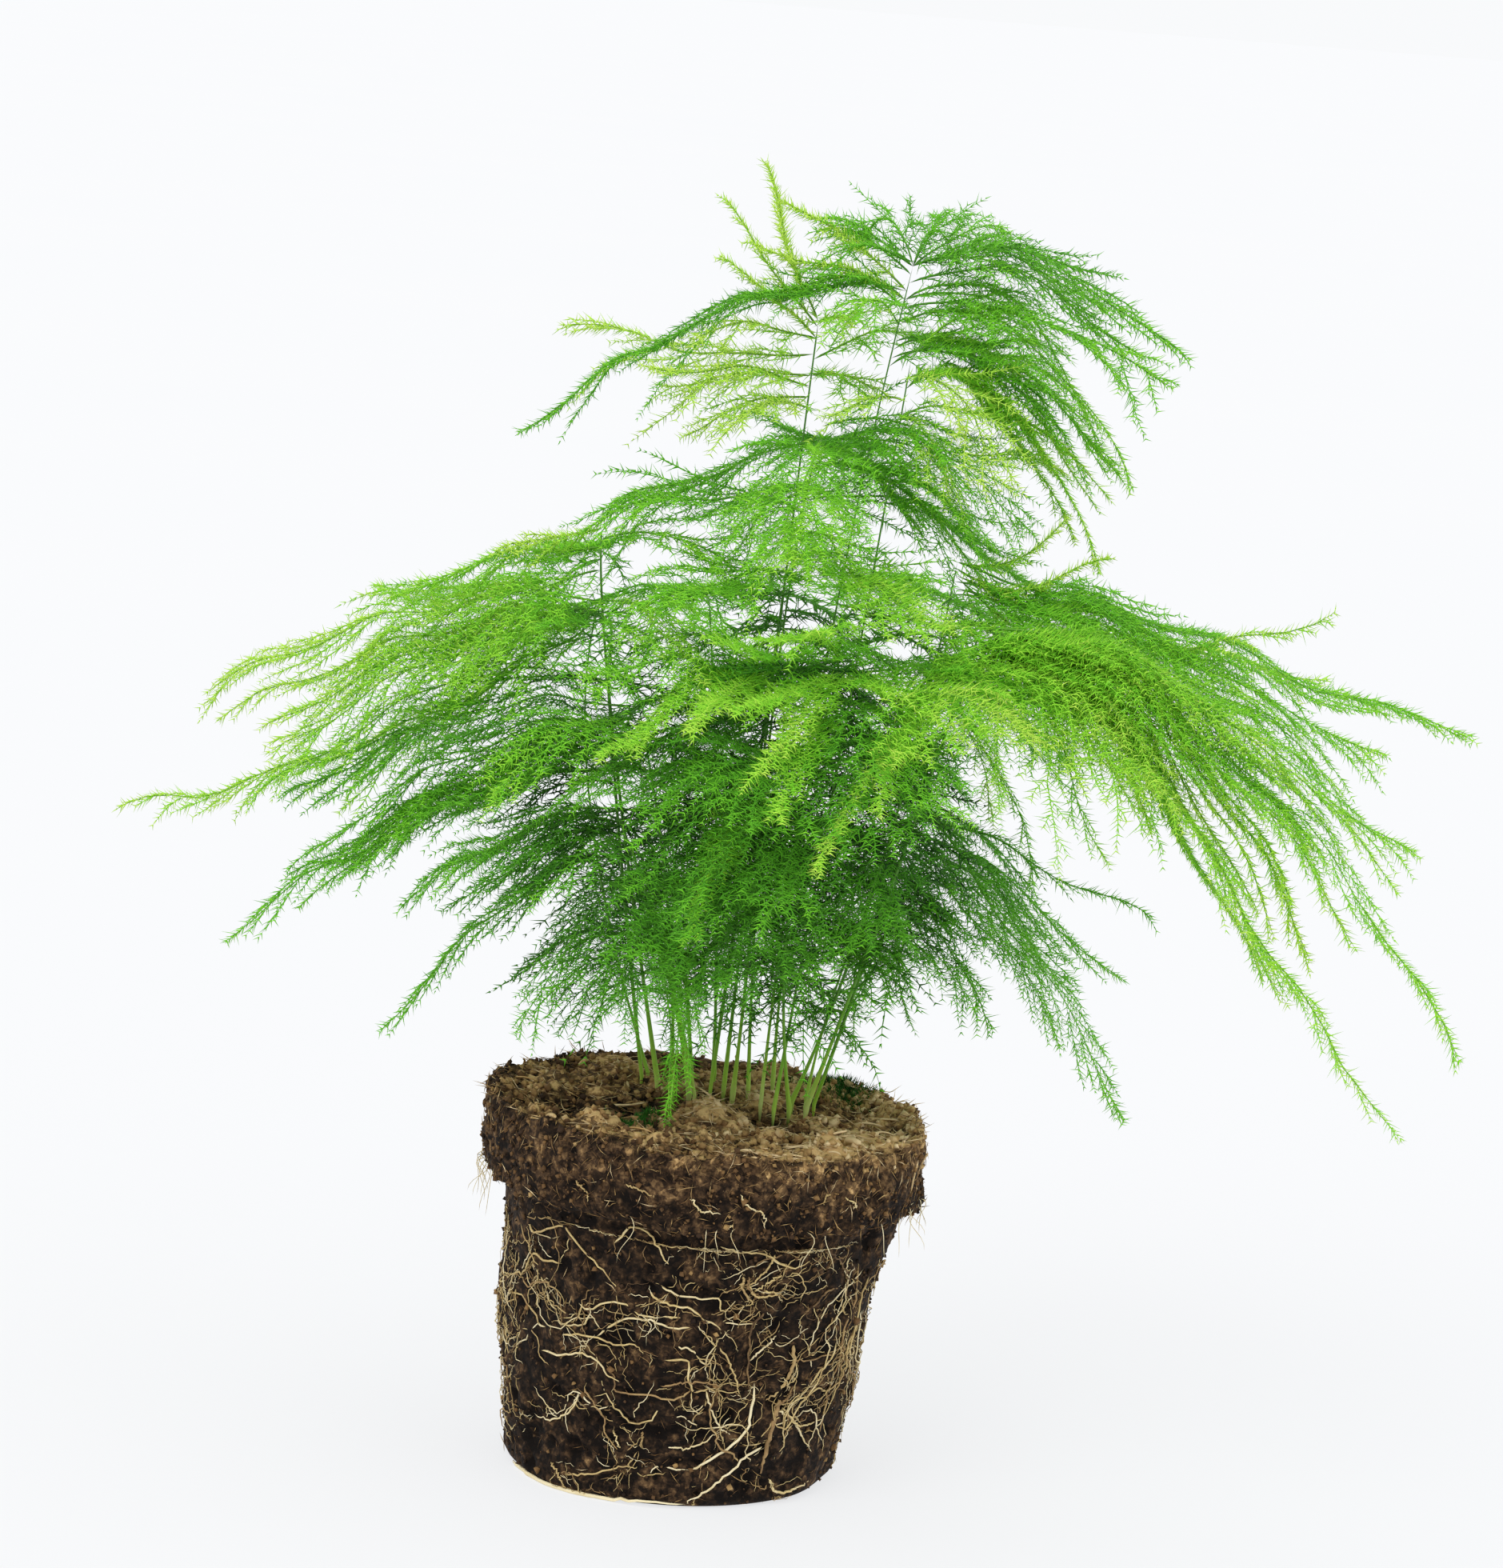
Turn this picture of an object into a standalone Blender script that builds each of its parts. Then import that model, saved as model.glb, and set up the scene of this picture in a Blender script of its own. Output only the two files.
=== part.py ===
"""Asparagus fern, Asparagus setaceus, lifted out of its nursery pot.

Pieces: the root ball of potting soil that kept the pot's form, the net of pale roots that lies on its
side, and sixteen shoots. A shoot is one stem with its fronds, twigs and needles, grown as one body.
It stands in a plain hole in the soil. Lengths in the tables are millimetres; everything built is in
metres, +Z up, with the origin on the root ball's flat underside, under the middle of its rim. The front
is -Y.
"""
import math

import bmesh
import bpy
import numpy as np
from mathutils import Vector
from mathutils.bvhtree import BVHTree

MM = 0.001
WELD = 0.01 * MM
FLAT_ANGLE = math.radians(0.2)

# Root ball: the inside of a 12 cm nursery pot, with the fuller band that the pot's collar gave it.
BALL_RIM_RADIUS = 57.5 * MM
BALL_BAND_FOOT_RADIUS = 56.2 * MM
BALL_WALL_TOP_RADIUS = 52.0 * MM
BALL_FOOT_RADIUS = 43.2 * MM
BALL_RIM_HEIGHT = 98.0 * MM
BALL_BAND_FOOT_HEIGHT = 76.0 * MM
SOIL_HEIGHT = 94.5 * MM
BALL_STEPS = 32
WALL_ROWS = 6
WALL_RELIEF = 0.45 * MM
SOIL_RELIEF = 0.8 * MM
# The ball leans: its foot stands this far left of its rim's middle, and its right side has sunk by
# this share of the height for each metre from the middle.
BALL_LEAN = 3.8 * MM
BALL_TILT = 0.36
# Lumps and hollows in the top of the soil: x, y, height and half width in millimetres.
SOIL_LUMPS = (
    (3, -14, 5.0, 9), (-33, -8, -7.0, 9), (-16, -2, -6.0, 7), (16, -6, -5.0, 6), (32, 21, -4.5, 10),
    (37, -28, 2.5, 12), (-31, -40, 2.0, 11), (-46, 12, 2.5, 9), (-22, 36, 2.5, 10), (39, 35, 3.5, 11),
)

# Stems: they start inside the soil, upright, and bend from the collar up.
STEM_SINK = 9.5 * MM
STEM_COLLAR = 97.0 * MM
STEM_FOOT_RADIUS = 1.15 * MM
STEM_TOP_RADIUS = 0.55 * MM
STEM_PIECES = 6
STEM_SHARES = np.linspace(0, 1, STEM_PIECES + 1)
HOLE_RADIUS = 1.75 * MM
HOLE_FLOOR_GAP = 0.3 * MM

# Fronds, twigs and needles.
FROND_RADII = (0.55 * MM, 0.32 * MM)
TWIG_RADII = (0.42 * MM, 0.24 * MM)
TWIG_SPACING = 4.6 * MM
TWIG_START = 0.10
TWIG_END = 0.985
TWIG_LEAN_FOOT = 56
TWIG_LEAN_TIP = 34
TWIG_BEND = 22
SHORTEST_TWIG = 2.2
FROND_PER_TWIG = 34.0 * MM
FROND_FIRST_WHORL = 0.3
TWIG_FIRST_WHORL = 0.35
WHORL_PITCH = 17.0 * MM
LAST_WHORL = 5.0 * MM
NEEDLE_LENGTH = 5.4 * MM
NEEDLE_FOOT = 0.9 * MM
NEEDLE_LEAN = math.radians(48)
LONGEST_PIECE = 24.0 * MM
# A union leaves spare points along straight edges: this share of the triangles holds the shape.
KEPT_SHARE = 0.8

# Room kept between the pieces of different shoots, from middle line to middle line.
FROND_ROOM = 2.6 * MM
TWIG_ROOM = 1.5 * MM
NEEDLE_ROOM = 1.0 * MM
EXTRA_ROOM = 1.12
BENDS = 16

# Root net: rings round the ball and roots that run down its wall.
ROOT_RADIUS = 0.8 * MM
ROOT_GAP = 0.35 * MM
ROOT_PIECE = 9.0 * MM
# Each ring's height, its swing up and down in millimetres, and how many waves go round.
ROOT_RINGS = ((4.0, 1.2, 3), (38.0, 9.0, 2))
ROOT_RUNS = 9
ROOT_TOPS = (58, 67)
ROOT_FEET = (6, 16)

# Each shoot: the foot's place, a point halfway up the stem, the stem's top, and its fronds. A frond is
# (share of the way up the stem, tip, rise over the straight line, half width, roll in degrees with the
# near side low). All hand measured on the plant, in millimetres.
SHOOTS = {
    "shoot_01": {"foot": (14, 4), "waist": (21, -12, 210), "top": (36, 5, 318), "fronds": [
        (1.00, (108, -5, 298), 26, 20, 16),
        (1.00, (13, 15, 327), 4, 13, 0),
        (0.95, (103, -30, 294), 16, 20, 14),
        (0.89, (95, 12, 270), 22, 26, 18),
        (0.97, (-61, -12, 269), 26, 22, -8),
    ]},
    "shoot_02": {"foot": (4, 20), "waist": (9, 2, 220), "top": (13, 5, 302), "fronds": [
        (1.00, (-5, 0, 341), 4, 9, 30),
        (0.99, (-13, 6, 330), 3, 6, 20),
        (0.97, (-12, -4, 317), 4, 7, 20),
        (0.94, (-53, 28, 295), -5, 20, 20),
        (0.88, (-28, -30, 290), 2, 15, 10),
        (0.84, (-9, -38, 276), 6, 12, 10),
        (0.93, (49, 30, 301), 7, 16, 10),
    ]},
    "shoot_03": {"foot": (17.5, -1), "waist": (29, -14, 213), "top": (37, -12, 295), "fronds": [
        (0.97, (62, -38, 268), 16, 18, 22),
        (0.93, (16, -32, 281), 5, 12, 10),
        (1.00, (60, 22, 306), 12, 18, 15),
        (0.80, (83, 22, 265), 16, 16, 20),
    ]},
    "shoot_04": {"foot": (10.5, 20), "waist": (9, -2, 199), "top": (16, -3, 276), "fronds": [
        (1.00, (69, -12, 253), 22, 28, 20),
        (0.98, (-37, 0, 251), 0, 26, 12),
        (0.96, (10, -78, 249), 16, 30, 0),
        (0.96, (25, 78, 253), 16, 28, 0),
        (0.84, (-40, -32, 250), 12, 24, 15),
        (0.86, (78, 32, 233), 22, 28, 15),
        (0.76, (47, -74, 234), 12, 24, 5),
        (0.72, (-21, -64, 232), 12, 22, 5),
    ]},
    "shoot_05": {"foot": (-13.5, 18), "waist": (-32, -8, 197), "top": (-38, -8, 246), "fronds": [
        (1.00, (-64, -5, 237), 2, 9, 15),
        (0.93, (-85, 26, 227), 2, 22, 15),
        (0.96, (-5, -28, 242), 8, 20, 15),
        (0.90, (-52, 62, 233), 5, 18, 0),
        (0.84, (-73, -42, 209), 12, 22, 15),
        (0.76, (-8, -62, 215), 10, 18, 10),
    ]},
    "shoot_06": {"foot": (-16.5, 30), "waist": (-37, 16, 172), "top": (-38, 12, 225), "fronds": [
        (1.00, (-140, 18, 193), 18, 28, 20),
        (0.94, (-161, 4, 161), -17, 16, 15),
        (0.97, (-118, -32, 183), 15, 22, 18),
        (0.96, (-101, 72, 216), 8, 22, 0),
    ]},
    "shoot_07": {"foot": (-9.5, 7), "waist": (-14, -18, 152), "top": (-25, -22, 203), "fronds": [
        (1.00, (-115, -22, 171), 18, 28, 20),
        (0.92, (-124, -42, 139), 22, 22, 18),
        (0.85, (-104, 4, 151), 12, 18, 15),
        (0.97, (-57, -78, 188), 12, 20, 10),
    ]},
    "shoot_08": {"foot": (-5, 9.5), "waist": (-15, -22, 142), "top": (-29, -32, 178), "fronds": [
        (0.95, (-83, -36, 119), 9, 16, 15),
        (0.80, (-50, -48, 120), 8, 14, 15),
        (1.00, (-76, -58, 157), 10, 20, 15),
        (0.70, (-6, -50, 117), 16, 9, 0),
    ]},
    "shoot_09": {"foot": (-5, 30), "waist": (-11, 26, 138), "top": (-21, 32, 168), "fronds": [
        (1.00, (-75, 48, 145), 10, 22, 0),
        (0.90, (-44, 78, 119), 10, 20, 0),
        (1.00, (-3, 92, 133), 10, 20, 0),
    ]},
    "shoot_10": {"foot": (22, 8), "waist": (40, -18, 167), "top": (53, -12, 245), "fronds": [
        (1.00, (189, -5, 210), 2, 26, 18),
        (0.96, (166, -22, 204), 11, 28, 20),
        (0.98, (150, -12, 240), -30, 12, 20),
        (0.92, (97, -80, 198), 14, 30, 10),
        (0.98, (154, 26, 217), -3, 18, 10),
        (0.84, (88, 42, 186), 12, 24, 10),
    ]},
    "shoot_11": {"foot": (26, 4), "waist": (44, -33, 170), "top": (59, -38, 231), "fronds": [
        (1.00, (173, -42, 183), 18, 30, 22),
        (0.97, (187, -66, 136), 50, 24, 20),
        (0.95, (170, -86, 116), 44, 16, 10),
        (0.98, (95, -62, 179), 20, 12, 10),
        (0.93, (110, -84, 189), 20, 14, 10),
        (0.97, (128, -50, 163), 30, 18, 10),
        (0.95, (22, -95, 178), 12, 7, 0),
    ]},
    "shoot_12": {"foot": (26, 16), "waist": (34, 10, 138), "top": (49, 4, 180), "fronds": [
        (1.00, (109, -6, 103), 7, 20, 22),
        (0.96, (111, -18, 157), 3, 7, 15),
        (0.92, (109, 26, 132), 8, 15, 10),
        (0.88, (98, 62, 123), 10, 20, 0),
        (0.62, (35, -22, 116), 14, 5, 0),
        (0.72, (53, 2, 118), 12, 5, 0),
    ]},
    "shoot_13": {"foot": (6.5, 12.5), "waist": (8, -14, 159), "top": (7, -32, 221), "fronds": [
        (1.00, (-33, -76, 198), 6, 8, 8),
        (0.96, (-11, -96, 207), 7, 8, 0),
        (0.70, (-6, -80, 158), 14, 9, 0),
        (0.75, (-22, -68, 163), 12, 22, 10),
        (0.86, (-42, -50, 180), 12, 22, 12),
        (0.92, (-40, -72, 216), 10, 14, 10),
    ]},
    "shoot_14": {"foot": (21.5, 1.5), "waist": (16, -34, 160), "top": (25, -45, 219), "fronds": [
        (1.00, (6, -98, 200), 6, 8, 0),
        (0.94, (52, -92, 192), 10, 24, 0),
        (0.84, (19, -88, 189), 12, 26, 0),
        (0.66, (44, -62, 155), 10, 20, 10),
        (0.60, (12, -76, 153), 12, 20, 0),
        (0.98, (72, -90, 210), 12, 22, 10),
    ]},
    "shoot_15": {"foot": (1, 36), "waist": (-3, 28, 162), "top": (-10, 36, 226), "fronds": [
        (1.00, (-63, 82, 203), 12, 26, 0),
        (0.98, (-15, 115, 210), 14, 26, 0),
        (0.78, (-65, 74, 168), 12, 24, 0),
        (0.72, (-3, 108, 156), 12, 24, 0),
    ]},
    "shoot_16": {"foot": (17, 34), "waist": (19, 38, 162), "top": (27, 44, 223), "fronds": [
        (1.00, (89, 86, 214), 16, 28, 0),
        (0.98, (41, 118, 222), 14, 26, 0),
        (0.86, (108, 62, 192), 16, 28, 0),
        (0.72, (64, 104, 164), 12, 24, 0),
        (0.62, (83, 56, 151), 12, 22, 0),
    ]},
}


def unit(vectors):
    """Each vector divided by its length."""
    return vectors / np.linalg.norm(vectors, axis=-1, keepdims=True)


def curve_at(axes, share):
    """Points of quadratic curves a, b, c: (1-t)^2 a + 2t(1-t) b + t^2 c."""
    t = share[..., None]
    a, b, c = axes[:, None, 0], axes[:, None, 1], axes[:, None, 2]
    return (1 - t) ** 2 * a + 2 * t * (1 - t) * b + t ** 2 * c


def slope_at(axes, share):
    """Unit directions of the same curves: (1-t)(b-a) + t(c-b)."""
    t = share[..., None]
    a, b, c = axes[:, None, 0], axes[:, None, 1], axes[:, None, 2]
    return unit((1 - t) * (b - a) + t * (c - b))


def points_on(axis, share):
    """Points of one curve."""
    return curve_at(axis[None], np.asarray(share)[None])[0]


def curve_length(axis):
    """Length of one curve, by its chords."""
    points = points_on(axis, np.linspace(0, 1, 20))
    return np.linalg.norm(np.diff(points, axis=0), axis=1).sum()


def nearest_gaps(start, end, other_start, other_end):
    """Shortest vectors between two sets of straight pieces, and the share along the first ones."""
    u = (end - start)[:, None]
    v = (other_end - other_start)[None]
    w = start[:, None] - other_start[None]
    uu, uv, vv = (u * u).sum(-1), (u * v).sum(-1), (v * v).sum(-1)
    uw, vw = (u * w).sum(-1), (v * w).sum(-1)
    spread = uu * vv - uv * uv
    s = np.where(spread > 1e-18, np.clip((uv * vw - vv * uw) / np.maximum(spread, 1e-18), 0, 1), 0)
    t = np.clip((uv * s + vw) / vv, 0, 1)
    s = np.clip((uv * t - uw) / uu, 0, 1)
    return w + s[..., None] * u - t[..., None] * v, s


class Room:
    """The straight pieces laid so far, with the shoot that owns each."""

    def __init__(self):
        self.start, self.end, self.owner = [], [], []

    def add(self, start, end, owner):
        self.start.append(start)
        self.end.append(end)
        self.owner.append(np.full(len(start), owner))

    def others(self, owner):
        """Pieces of every other shoot."""
        if not self.start:
            return None
        keep = np.concatenate(self.owner) != owner
        if not keep.any():
            return None
        return np.concatenate(self.start)[keep], np.concatenate(self.end)[keep]

    def tightest(self, start, end, owner):
        """Smallest gap from new pieces to other shoots, where it is, and its direction."""
        others = self.others(owner)
        if others is None:
            return 1.0, 0.0, np.array((0.0, 0.0, 1.0))
        gaps, s = nearest_gaps(start, end, *others)
        size = np.linalg.norm(gaps, axis=-1)
        i, j = np.unravel_index(size.argmin(), size.shape)
        return size[i, j], i + s[i, j], gaps[i, j] / max(size[i, j], 1e-9)


def add_axis(room, axis, shares, owner):
    """Enter a branch in the room as the straight pieces between its rings."""
    points = points_on(axis, shares)
    room.add(points[:-1], points[1:], owner)


def bend_clear(room, axis, ring_rule, owner, wanted):
    """Bend a curve away from other shoots until its straight pieces have the wanted room.

    The foot is kept. Returns the curve, the shares of its rings and the room that it has.
    """
    for _ in range(BENDS):
        shares = ring_rule(axis)
        points = points_on(axis, shares)
        gap, place, away = room.tightest(points[:-1], points[1:], owner)
        if gap >= wanted:
            break
        t = np.interp(place, np.arange(len(shares)), shares)
        step = away * (wanted * EXTRA_ROOM - gap) * 0.6
        axis = axis.copy()
        axis[1] += step / max(2 * t * (1 - t), 0.12)
        axis[2] += step * t * t
    return axis, shares, gap


def stem_axis(shoot):
    """The curve from the collar through the halfway point to the top."""
    foot = np.array((*shoot["foot"], STEM_COLLAR / MM)) * MM
    top = np.array(shoot["top"]) * MM
    return np.array((foot, 2 * np.array(shoot["waist"]) * MM - (foot + top) / 2, top))


def on_core(axis, shares, share):
    """The point at a share of a branch on the straight pieces between its rings."""
    points = points_on(axis, shares)
    return np.array([np.interp(share, shares, points[:, side]) for side in range(3)])


def frond_axis(stem, frond):
    """The curve from the stem to the frond's tip, rising first."""
    base = on_core(stem, STEM_SHARES, frond[0])
    tip = np.array(frond[1]) * MM
    return np.array((base, base + 0.42 * (tip - base) + np.array((0, 0, frond[2] * MM)), tip))


def frond_frame(axis, slope, roll):
    """Side and normal directions of a frond's flat spray, the side away from the front lifted."""
    along = axis[2] - axis[0]
    side = unit(np.array((-along[1], along[0], 0.0)))
    side = side if side[1] >= 0 else -side
    normal = unit(np.cross(slope, side))
    normal = normal * np.where(normal[:, 2] < 0, -1, 1)[:, None]
    turn = math.radians(roll)
    return math.cos(turn) * side + math.sin(turn) * normal, normal


def twig_axes(axis, half_width, roll, draw):
    """Twigs left and right of a frond's middle, longest near its foot, all leaning to its tip."""
    count = max(4, int(curve_length(axis) * (1 - TWIG_START) / TWIG_SPACING))
    order = np.arange(count)
    share = TWIG_START + (TWIG_END - TWIG_START) * (order + draw.uniform(-0.25, 0.25, count)) / count
    hand = np.where(order % 2, 1.0, -1.0)[:, None]
    start = points_on(axis, share)
    slope = slope_at(axis[None], share[None])[0]
    side, normal = frond_frame(axis, slope, roll)
    outline = np.minimum(1, (share - TWIG_START / 2) / 0.2) * (1 - share) ** 0.75
    reach = np.maximum(half_width * 1.12 * outline * draw.uniform(0.78, 1.15, count), SHORTEST_TWIG) * MM
    lean = np.radians(TWIG_LEAN_FOOT + (TWIG_LEAN_TIP - TWIG_LEAN_FOOT) * share)[:, None]
    length = reach[:, None] / np.sin(lean)
    middle = start + length * 0.55 * (np.cos(lean) * slope + np.sin(lean) * hand * side)
    middle += normal * length * draw.uniform(-0.02, 0.06, count)[:, None]
    lean = lean - math.radians(TWIG_BEND)
    end = middle + length * 0.5 * (np.cos(lean) * slope + np.sin(lean) * hand * side)
    end[:, 2] -= length[:, 0] * draw.uniform(0.02, 0.16, count)
    return np.stack((start, middle, end), 1), share


def chosen_twigs(length, count):
    """Which of a frond's twigs the solid keeps: a few, spread along it, left and right in turn."""
    wanted = max(1, round(length / FROND_PER_TWIG))
    order = np.arange(wanted)
    places = ((order + 0.45) / wanted * 0.9 * count).astype(int)
    places += (order % 2) != (places % 2)
    return places[places < count]


def whorl_shares(length, first):
    """Where the needle whorls sit along a branch, the last one close to its tip."""
    start = first * length
    count = max(1, round((length - start) / WHORL_PITCH))
    places = start + (length - start - 2.5 * MM) * (np.arange(count) + 0.5) / count
    places[-1] = max(places[-1], length - LAST_WHORL)
    return places / length


def ring_shares(length, whorls):
    """Shares of a branch where its tube has a ring, and the pieces between them that bear needles."""
    half = NEEDLE_FOOT / 2 / length
    shares = [0.0]
    bearing = []
    for whorl in whorls:
        gap = whorl - half - shares[-1]
        extra = int(gap * length / LONGEST_PIECE)
        shares += [shares[-1] + gap * (k + 1) / (extra + 1) for k in range(extra)]
        shares.append(whorl - half)
        bearing.append(len(shares) - 1)
        shares.append(whorl + half)
    shares.append(1.0)
    return np.array(shares), bearing


def branch_rings(axis, first_whorl):
    """The rings of a branch's tube, and which of its pieces bear needles."""
    length = curve_length(axis)
    return ring_shares(length, whorl_shares(length, first_whorl))


def stem_rings(_):
    """Every stem has the same few rings."""
    return STEM_SHARES


def frond_rings(axis):
    """The rings of a frond's middle."""
    return branch_rings(axis, FROND_FIRST_WHORL)[0]


def twig_rings(axis):
    """The rings of a twig."""
    return branch_rings(axis, TWIG_FIRST_WHORL)[0]


def lay_out_axes():
    """Middle lines of every stem, frond and twig, each bent clear of the shoots laid before it."""
    room = Room()
    plan = {}
    for name, shoot in SHOOTS.items():
        stem, rings, _ = bend_clear(room, stem_axis(shoot), stem_rings, name, FROND_ROOM)
        add_axis(room, stem, rings, name)
        plan[name] = {"stem": stem, "fronds": [], "twigs": []}
    number = 0
    sprays = []
    for name, shoot in SHOOTS.items():
        for frond in shoot["fronds"]:
            axis = frond_axis(plan[name]["stem"], frond)
            axis, rings, _ = bend_clear(room, axis, frond_rings, name, FROND_ROOM)
            add_axis(room, axis, rings, name)
            plan[name]["fronds"].append(axis)
            draw = np.random.default_rng(100 + number)
            sprays.append((name, axis, rings, *twig_axes(axis, frond[3], frond[4], draw)))
            number += 1
    for name, middle, frond_shares, twigs, shares in sprays:
        for place in chosen_twigs(curve_length(middle), len(twigs)):
            axis = twigs[place]
            axis[0] = on_core(middle, frond_shares, shares[place])
            axis, rings, gap = bend_clear(room, axis, twig_rings, name, TWIG_ROOM)
            if gap >= TWIG_ROOM:
                add_axis(room, axis, rings, name)
                plan[name]["twigs"].append(axis)
    return plan, room


def section_curve(name, sides):
    """A ring of a few points with radius 1, the section that tubes are swept from."""
    curve = bpy.data.curves.new(name, "CURVE")
    spline = curve.splines.new("POLY")
    spline.points.add(sides - 1)
    spline.use_cyclic_u = True
    for number in range(sides):
        angle = 2 * math.pi * number / sides
        spline.points[number].co = (math.cos(angle), math.sin(angle), 0, 1)
    section = bpy.data.objects.new(name, curve)
    section.hide_render = True
    bpy.context.scene.collection.objects.link(section)
    return section


def tube_mesh(points, radii, section, twist=0.0, cyclic=False):
    """A tube swept along the points as a curve object, made a mesh with its caps welded."""
    curve = bpy.data.curves.new("tube", "CURVE")
    curve.dimensions = "3D"
    curve.bevel_mode = "OBJECT"
    curve.bevel_object = section
    curve.use_fill_caps = not cyclic
    spline = curve.splines.new("POLY")
    spline.points.add(len(points) - 1)
    spline.use_cyclic_u = cyclic
    for point, place, radius in zip(spline.points, points, radii):
        point.co = (*place, 1)
        point.radius = radius
        point.tilt = twist
    sweep = bpy.data.objects.new("tube", curve)
    bpy.context.scene.collection.objects.link(sweep)
    graph = bpy.context.evaluated_depsgraph_get()
    mesh = bpy.data.meshes.new_from_object(sweep.evaluated_get(graph))
    bpy.data.objects.remove(sweep)
    bpy.data.curves.remove(curve)
    return mesh


def raise_needles(mesh, path, bearing, room, owner):
    """Poke the side faces of the bearing pieces into needles that lean to the branch's tip."""
    body = bmesh.new()
    body.from_mesh(mesh)
    walls = [face for face in body.faces if len(face.verts) == 4]
    sides = len(walls) // (len(path) - 1)
    for piece in bearing:
        along = Vector(path[piece + 1] - path[piece]).normalized()
        faces, tips = [], []
        for face in walls[piece * sides:(piece + 1) * sides]:
            out = face.calc_center_median() - Vector((path[piece] + path[piece + 1]) / 2)
            out = (out - out.dot(along) * along).normalized()
            foot = face.calc_center_median()
            tip = foot + NEEDLE_LENGTH * (math.cos(NEEDLE_LEAN) * along + math.sin(NEEDLE_LEAN) * out)
            start, end = np.array([foot]), np.array([tip])
            if room.tightest(start, end, owner)[0] > NEEDLE_ROOM:
                room.add(start, end, owner)
                faces.append(face)
                tips.append(tip)
        for face, tip in zip(faces, tips):
            poked = bmesh.ops.poke(body, faces=[face])
            poked["verts"][0].co = tip
    bmesh.ops.remove_doubles(body, verts=body.verts, dist=WELD)
    bmesh.ops.triangulate(body, faces=body.faces)
    bmesh.ops.recalc_face_normals(body, faces=body.faces)
    body.to_mesh(mesh)
    body.free()


def weld_tube(mesh):
    """Weld a tube's loose caps on and face it outwards."""
    body = bmesh.new()
    body.from_mesh(mesh)
    bmesh.ops.remove_doubles(body, verts=body.verts, dist=WELD)
    bmesh.ops.triangulate(body, faces=body.faces)
    bmesh.ops.recalc_face_normals(body, faces=body.faces)
    body.to_mesh(mesh)
    body.free()


def merge_flat_faces(mesh):
    """Merge neighbouring faces that lie in one plane, and split the result into triangles."""
    body = bmesh.new()
    body.from_mesh(mesh)
    bmesh.ops.dissolve_limit(body, angle_limit=FLAT_ANGLE, verts=body.verts, edges=body.edges)
    bmesh.ops.triangulate(body, faces=body.faces)
    body.to_mesh(mesh)
    body.free()


def new_object(name, mesh, collection):
    """Link a mesh as an object."""
    thing = bpy.data.objects.new(name, mesh)
    collection.objects.link(thing)
    return thing


def replace_mesh(thing):
    """Apply an object's modifiers to its mesh."""
    graph = bpy.context.evaluated_depsgraph_get()
    mesh = bpy.data.meshes.new_from_object(thing.evaluated_get(graph))
    thing.modifiers.clear()
    old = thing.data
    thing.data = mesh
    bpy.data.meshes.remove(old)


def drop_scraps(mesh):
    """Keep only the largest connected body of a mesh."""
    body = bmesh.new()
    body.from_mesh(mesh)
    islands = []
    unseen = set(body.verts)
    while unseen:
        edge_of_search = [unseen.pop()]
        island = set(edge_of_search)
        while edge_of_search:
            vert = edge_of_search.pop()
            near = {edge.other_vert(vert) for edge in vert.link_edges} - island
            island |= near
            edge_of_search.extend(near)
        unseen -= island
        islands.append(island)
    largest = max(islands, key=len)
    loose = [vert for island in islands if island is not largest for vert in island]
    bmesh.ops.delete(body, geom=loose, context="VERTS")
    body.to_mesh(mesh)
    body.free()


def combine(thing, operation, helpers, solver):
    """Join or cut an object with a collection of helpers, which are then removed."""
    step = thing.modifiers.new(operation.lower(), "BOOLEAN")
    step.operation = operation
    step.operand_type = "COLLECTION"
    step.collection = helpers
    step.solver = solver
    replace_mesh(thing)
    for helper in list(helpers.objects):
        bpy.data.objects.remove(helper)
    bpy.data.collections.remove(helpers)
    drop_scraps(thing.data)
    merge_flat_faces(thing.data)


def helper_collection(name):
    """A collection for shapes that a Boolean uses up."""
    helpers = bpy.data.collections.new(name)
    bpy.context.scene.collection.children.link(helpers)
    return helpers


def finish(thing, name, colour, roughness, angle):
    """Give a piece its own material and smooth shading with sharp edges kept."""
    material = bpy.data.materials.new(name)
    material.use_nodes = True
    shader = material.node_tree.nodes["Principled BSDF"]
    shader.inputs["Base Color"].default_value = (*colour, 1)
    shader.inputs["Roughness"].default_value = roughness
    shader.inputs["Metallic"].default_value = 0
    thing.data.materials.clear()
    thing.data.materials.append(material)
    thing.data.shade_smooth()
    thing.data.set_sharp_from_angle(angle=math.radians(angle))
    thing.data.name = name


def ball_profile():
    """The root ball's half section, from the top middle down its outer side to the bottom middle."""
    top = [(radius * MM, SOIL_HEIGHT) for radius in (0, 11, 21, 31, 41, 50)]
    band = [(BALL_RIM_RADIUS - 2.5 * MM, BALL_RIM_HEIGHT - 0.8 * MM),
            (BALL_RIM_RADIUS, BALL_RIM_HEIGHT - 3.5 * MM),
            (BALL_RIM_RADIUS - 0.5 * MM, (BALL_RIM_HEIGHT + BALL_BAND_FOOT_HEIGHT) / 2),
            (BALL_BAND_FOOT_RADIUS, BALL_BAND_FOOT_HEIGHT + 1 * MM),
            (BALL_BAND_FOOT_RADIUS - 1.5 * MM, BALL_BAND_FOOT_HEIGHT - 0.8 * MM)]
    wall = []
    for row in range(WALL_ROWS + 1):
        down = row / WALL_ROWS
        height = (BALL_BAND_FOOT_HEIGHT - 2.5 * MM) * (1 - down) + 2.5 * MM * down
        wall.append((BALL_WALL_TOP_RADIUS * (1 - down) + BALL_FOOT_RADIUS * down, height))
    foot = [(BALL_FOOT_RADIUS - 2.2 * MM, 0), (BALL_FOOT_RADIUS * 0.5, 0), (0, 0)]
    return top + band + wall + foot


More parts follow.
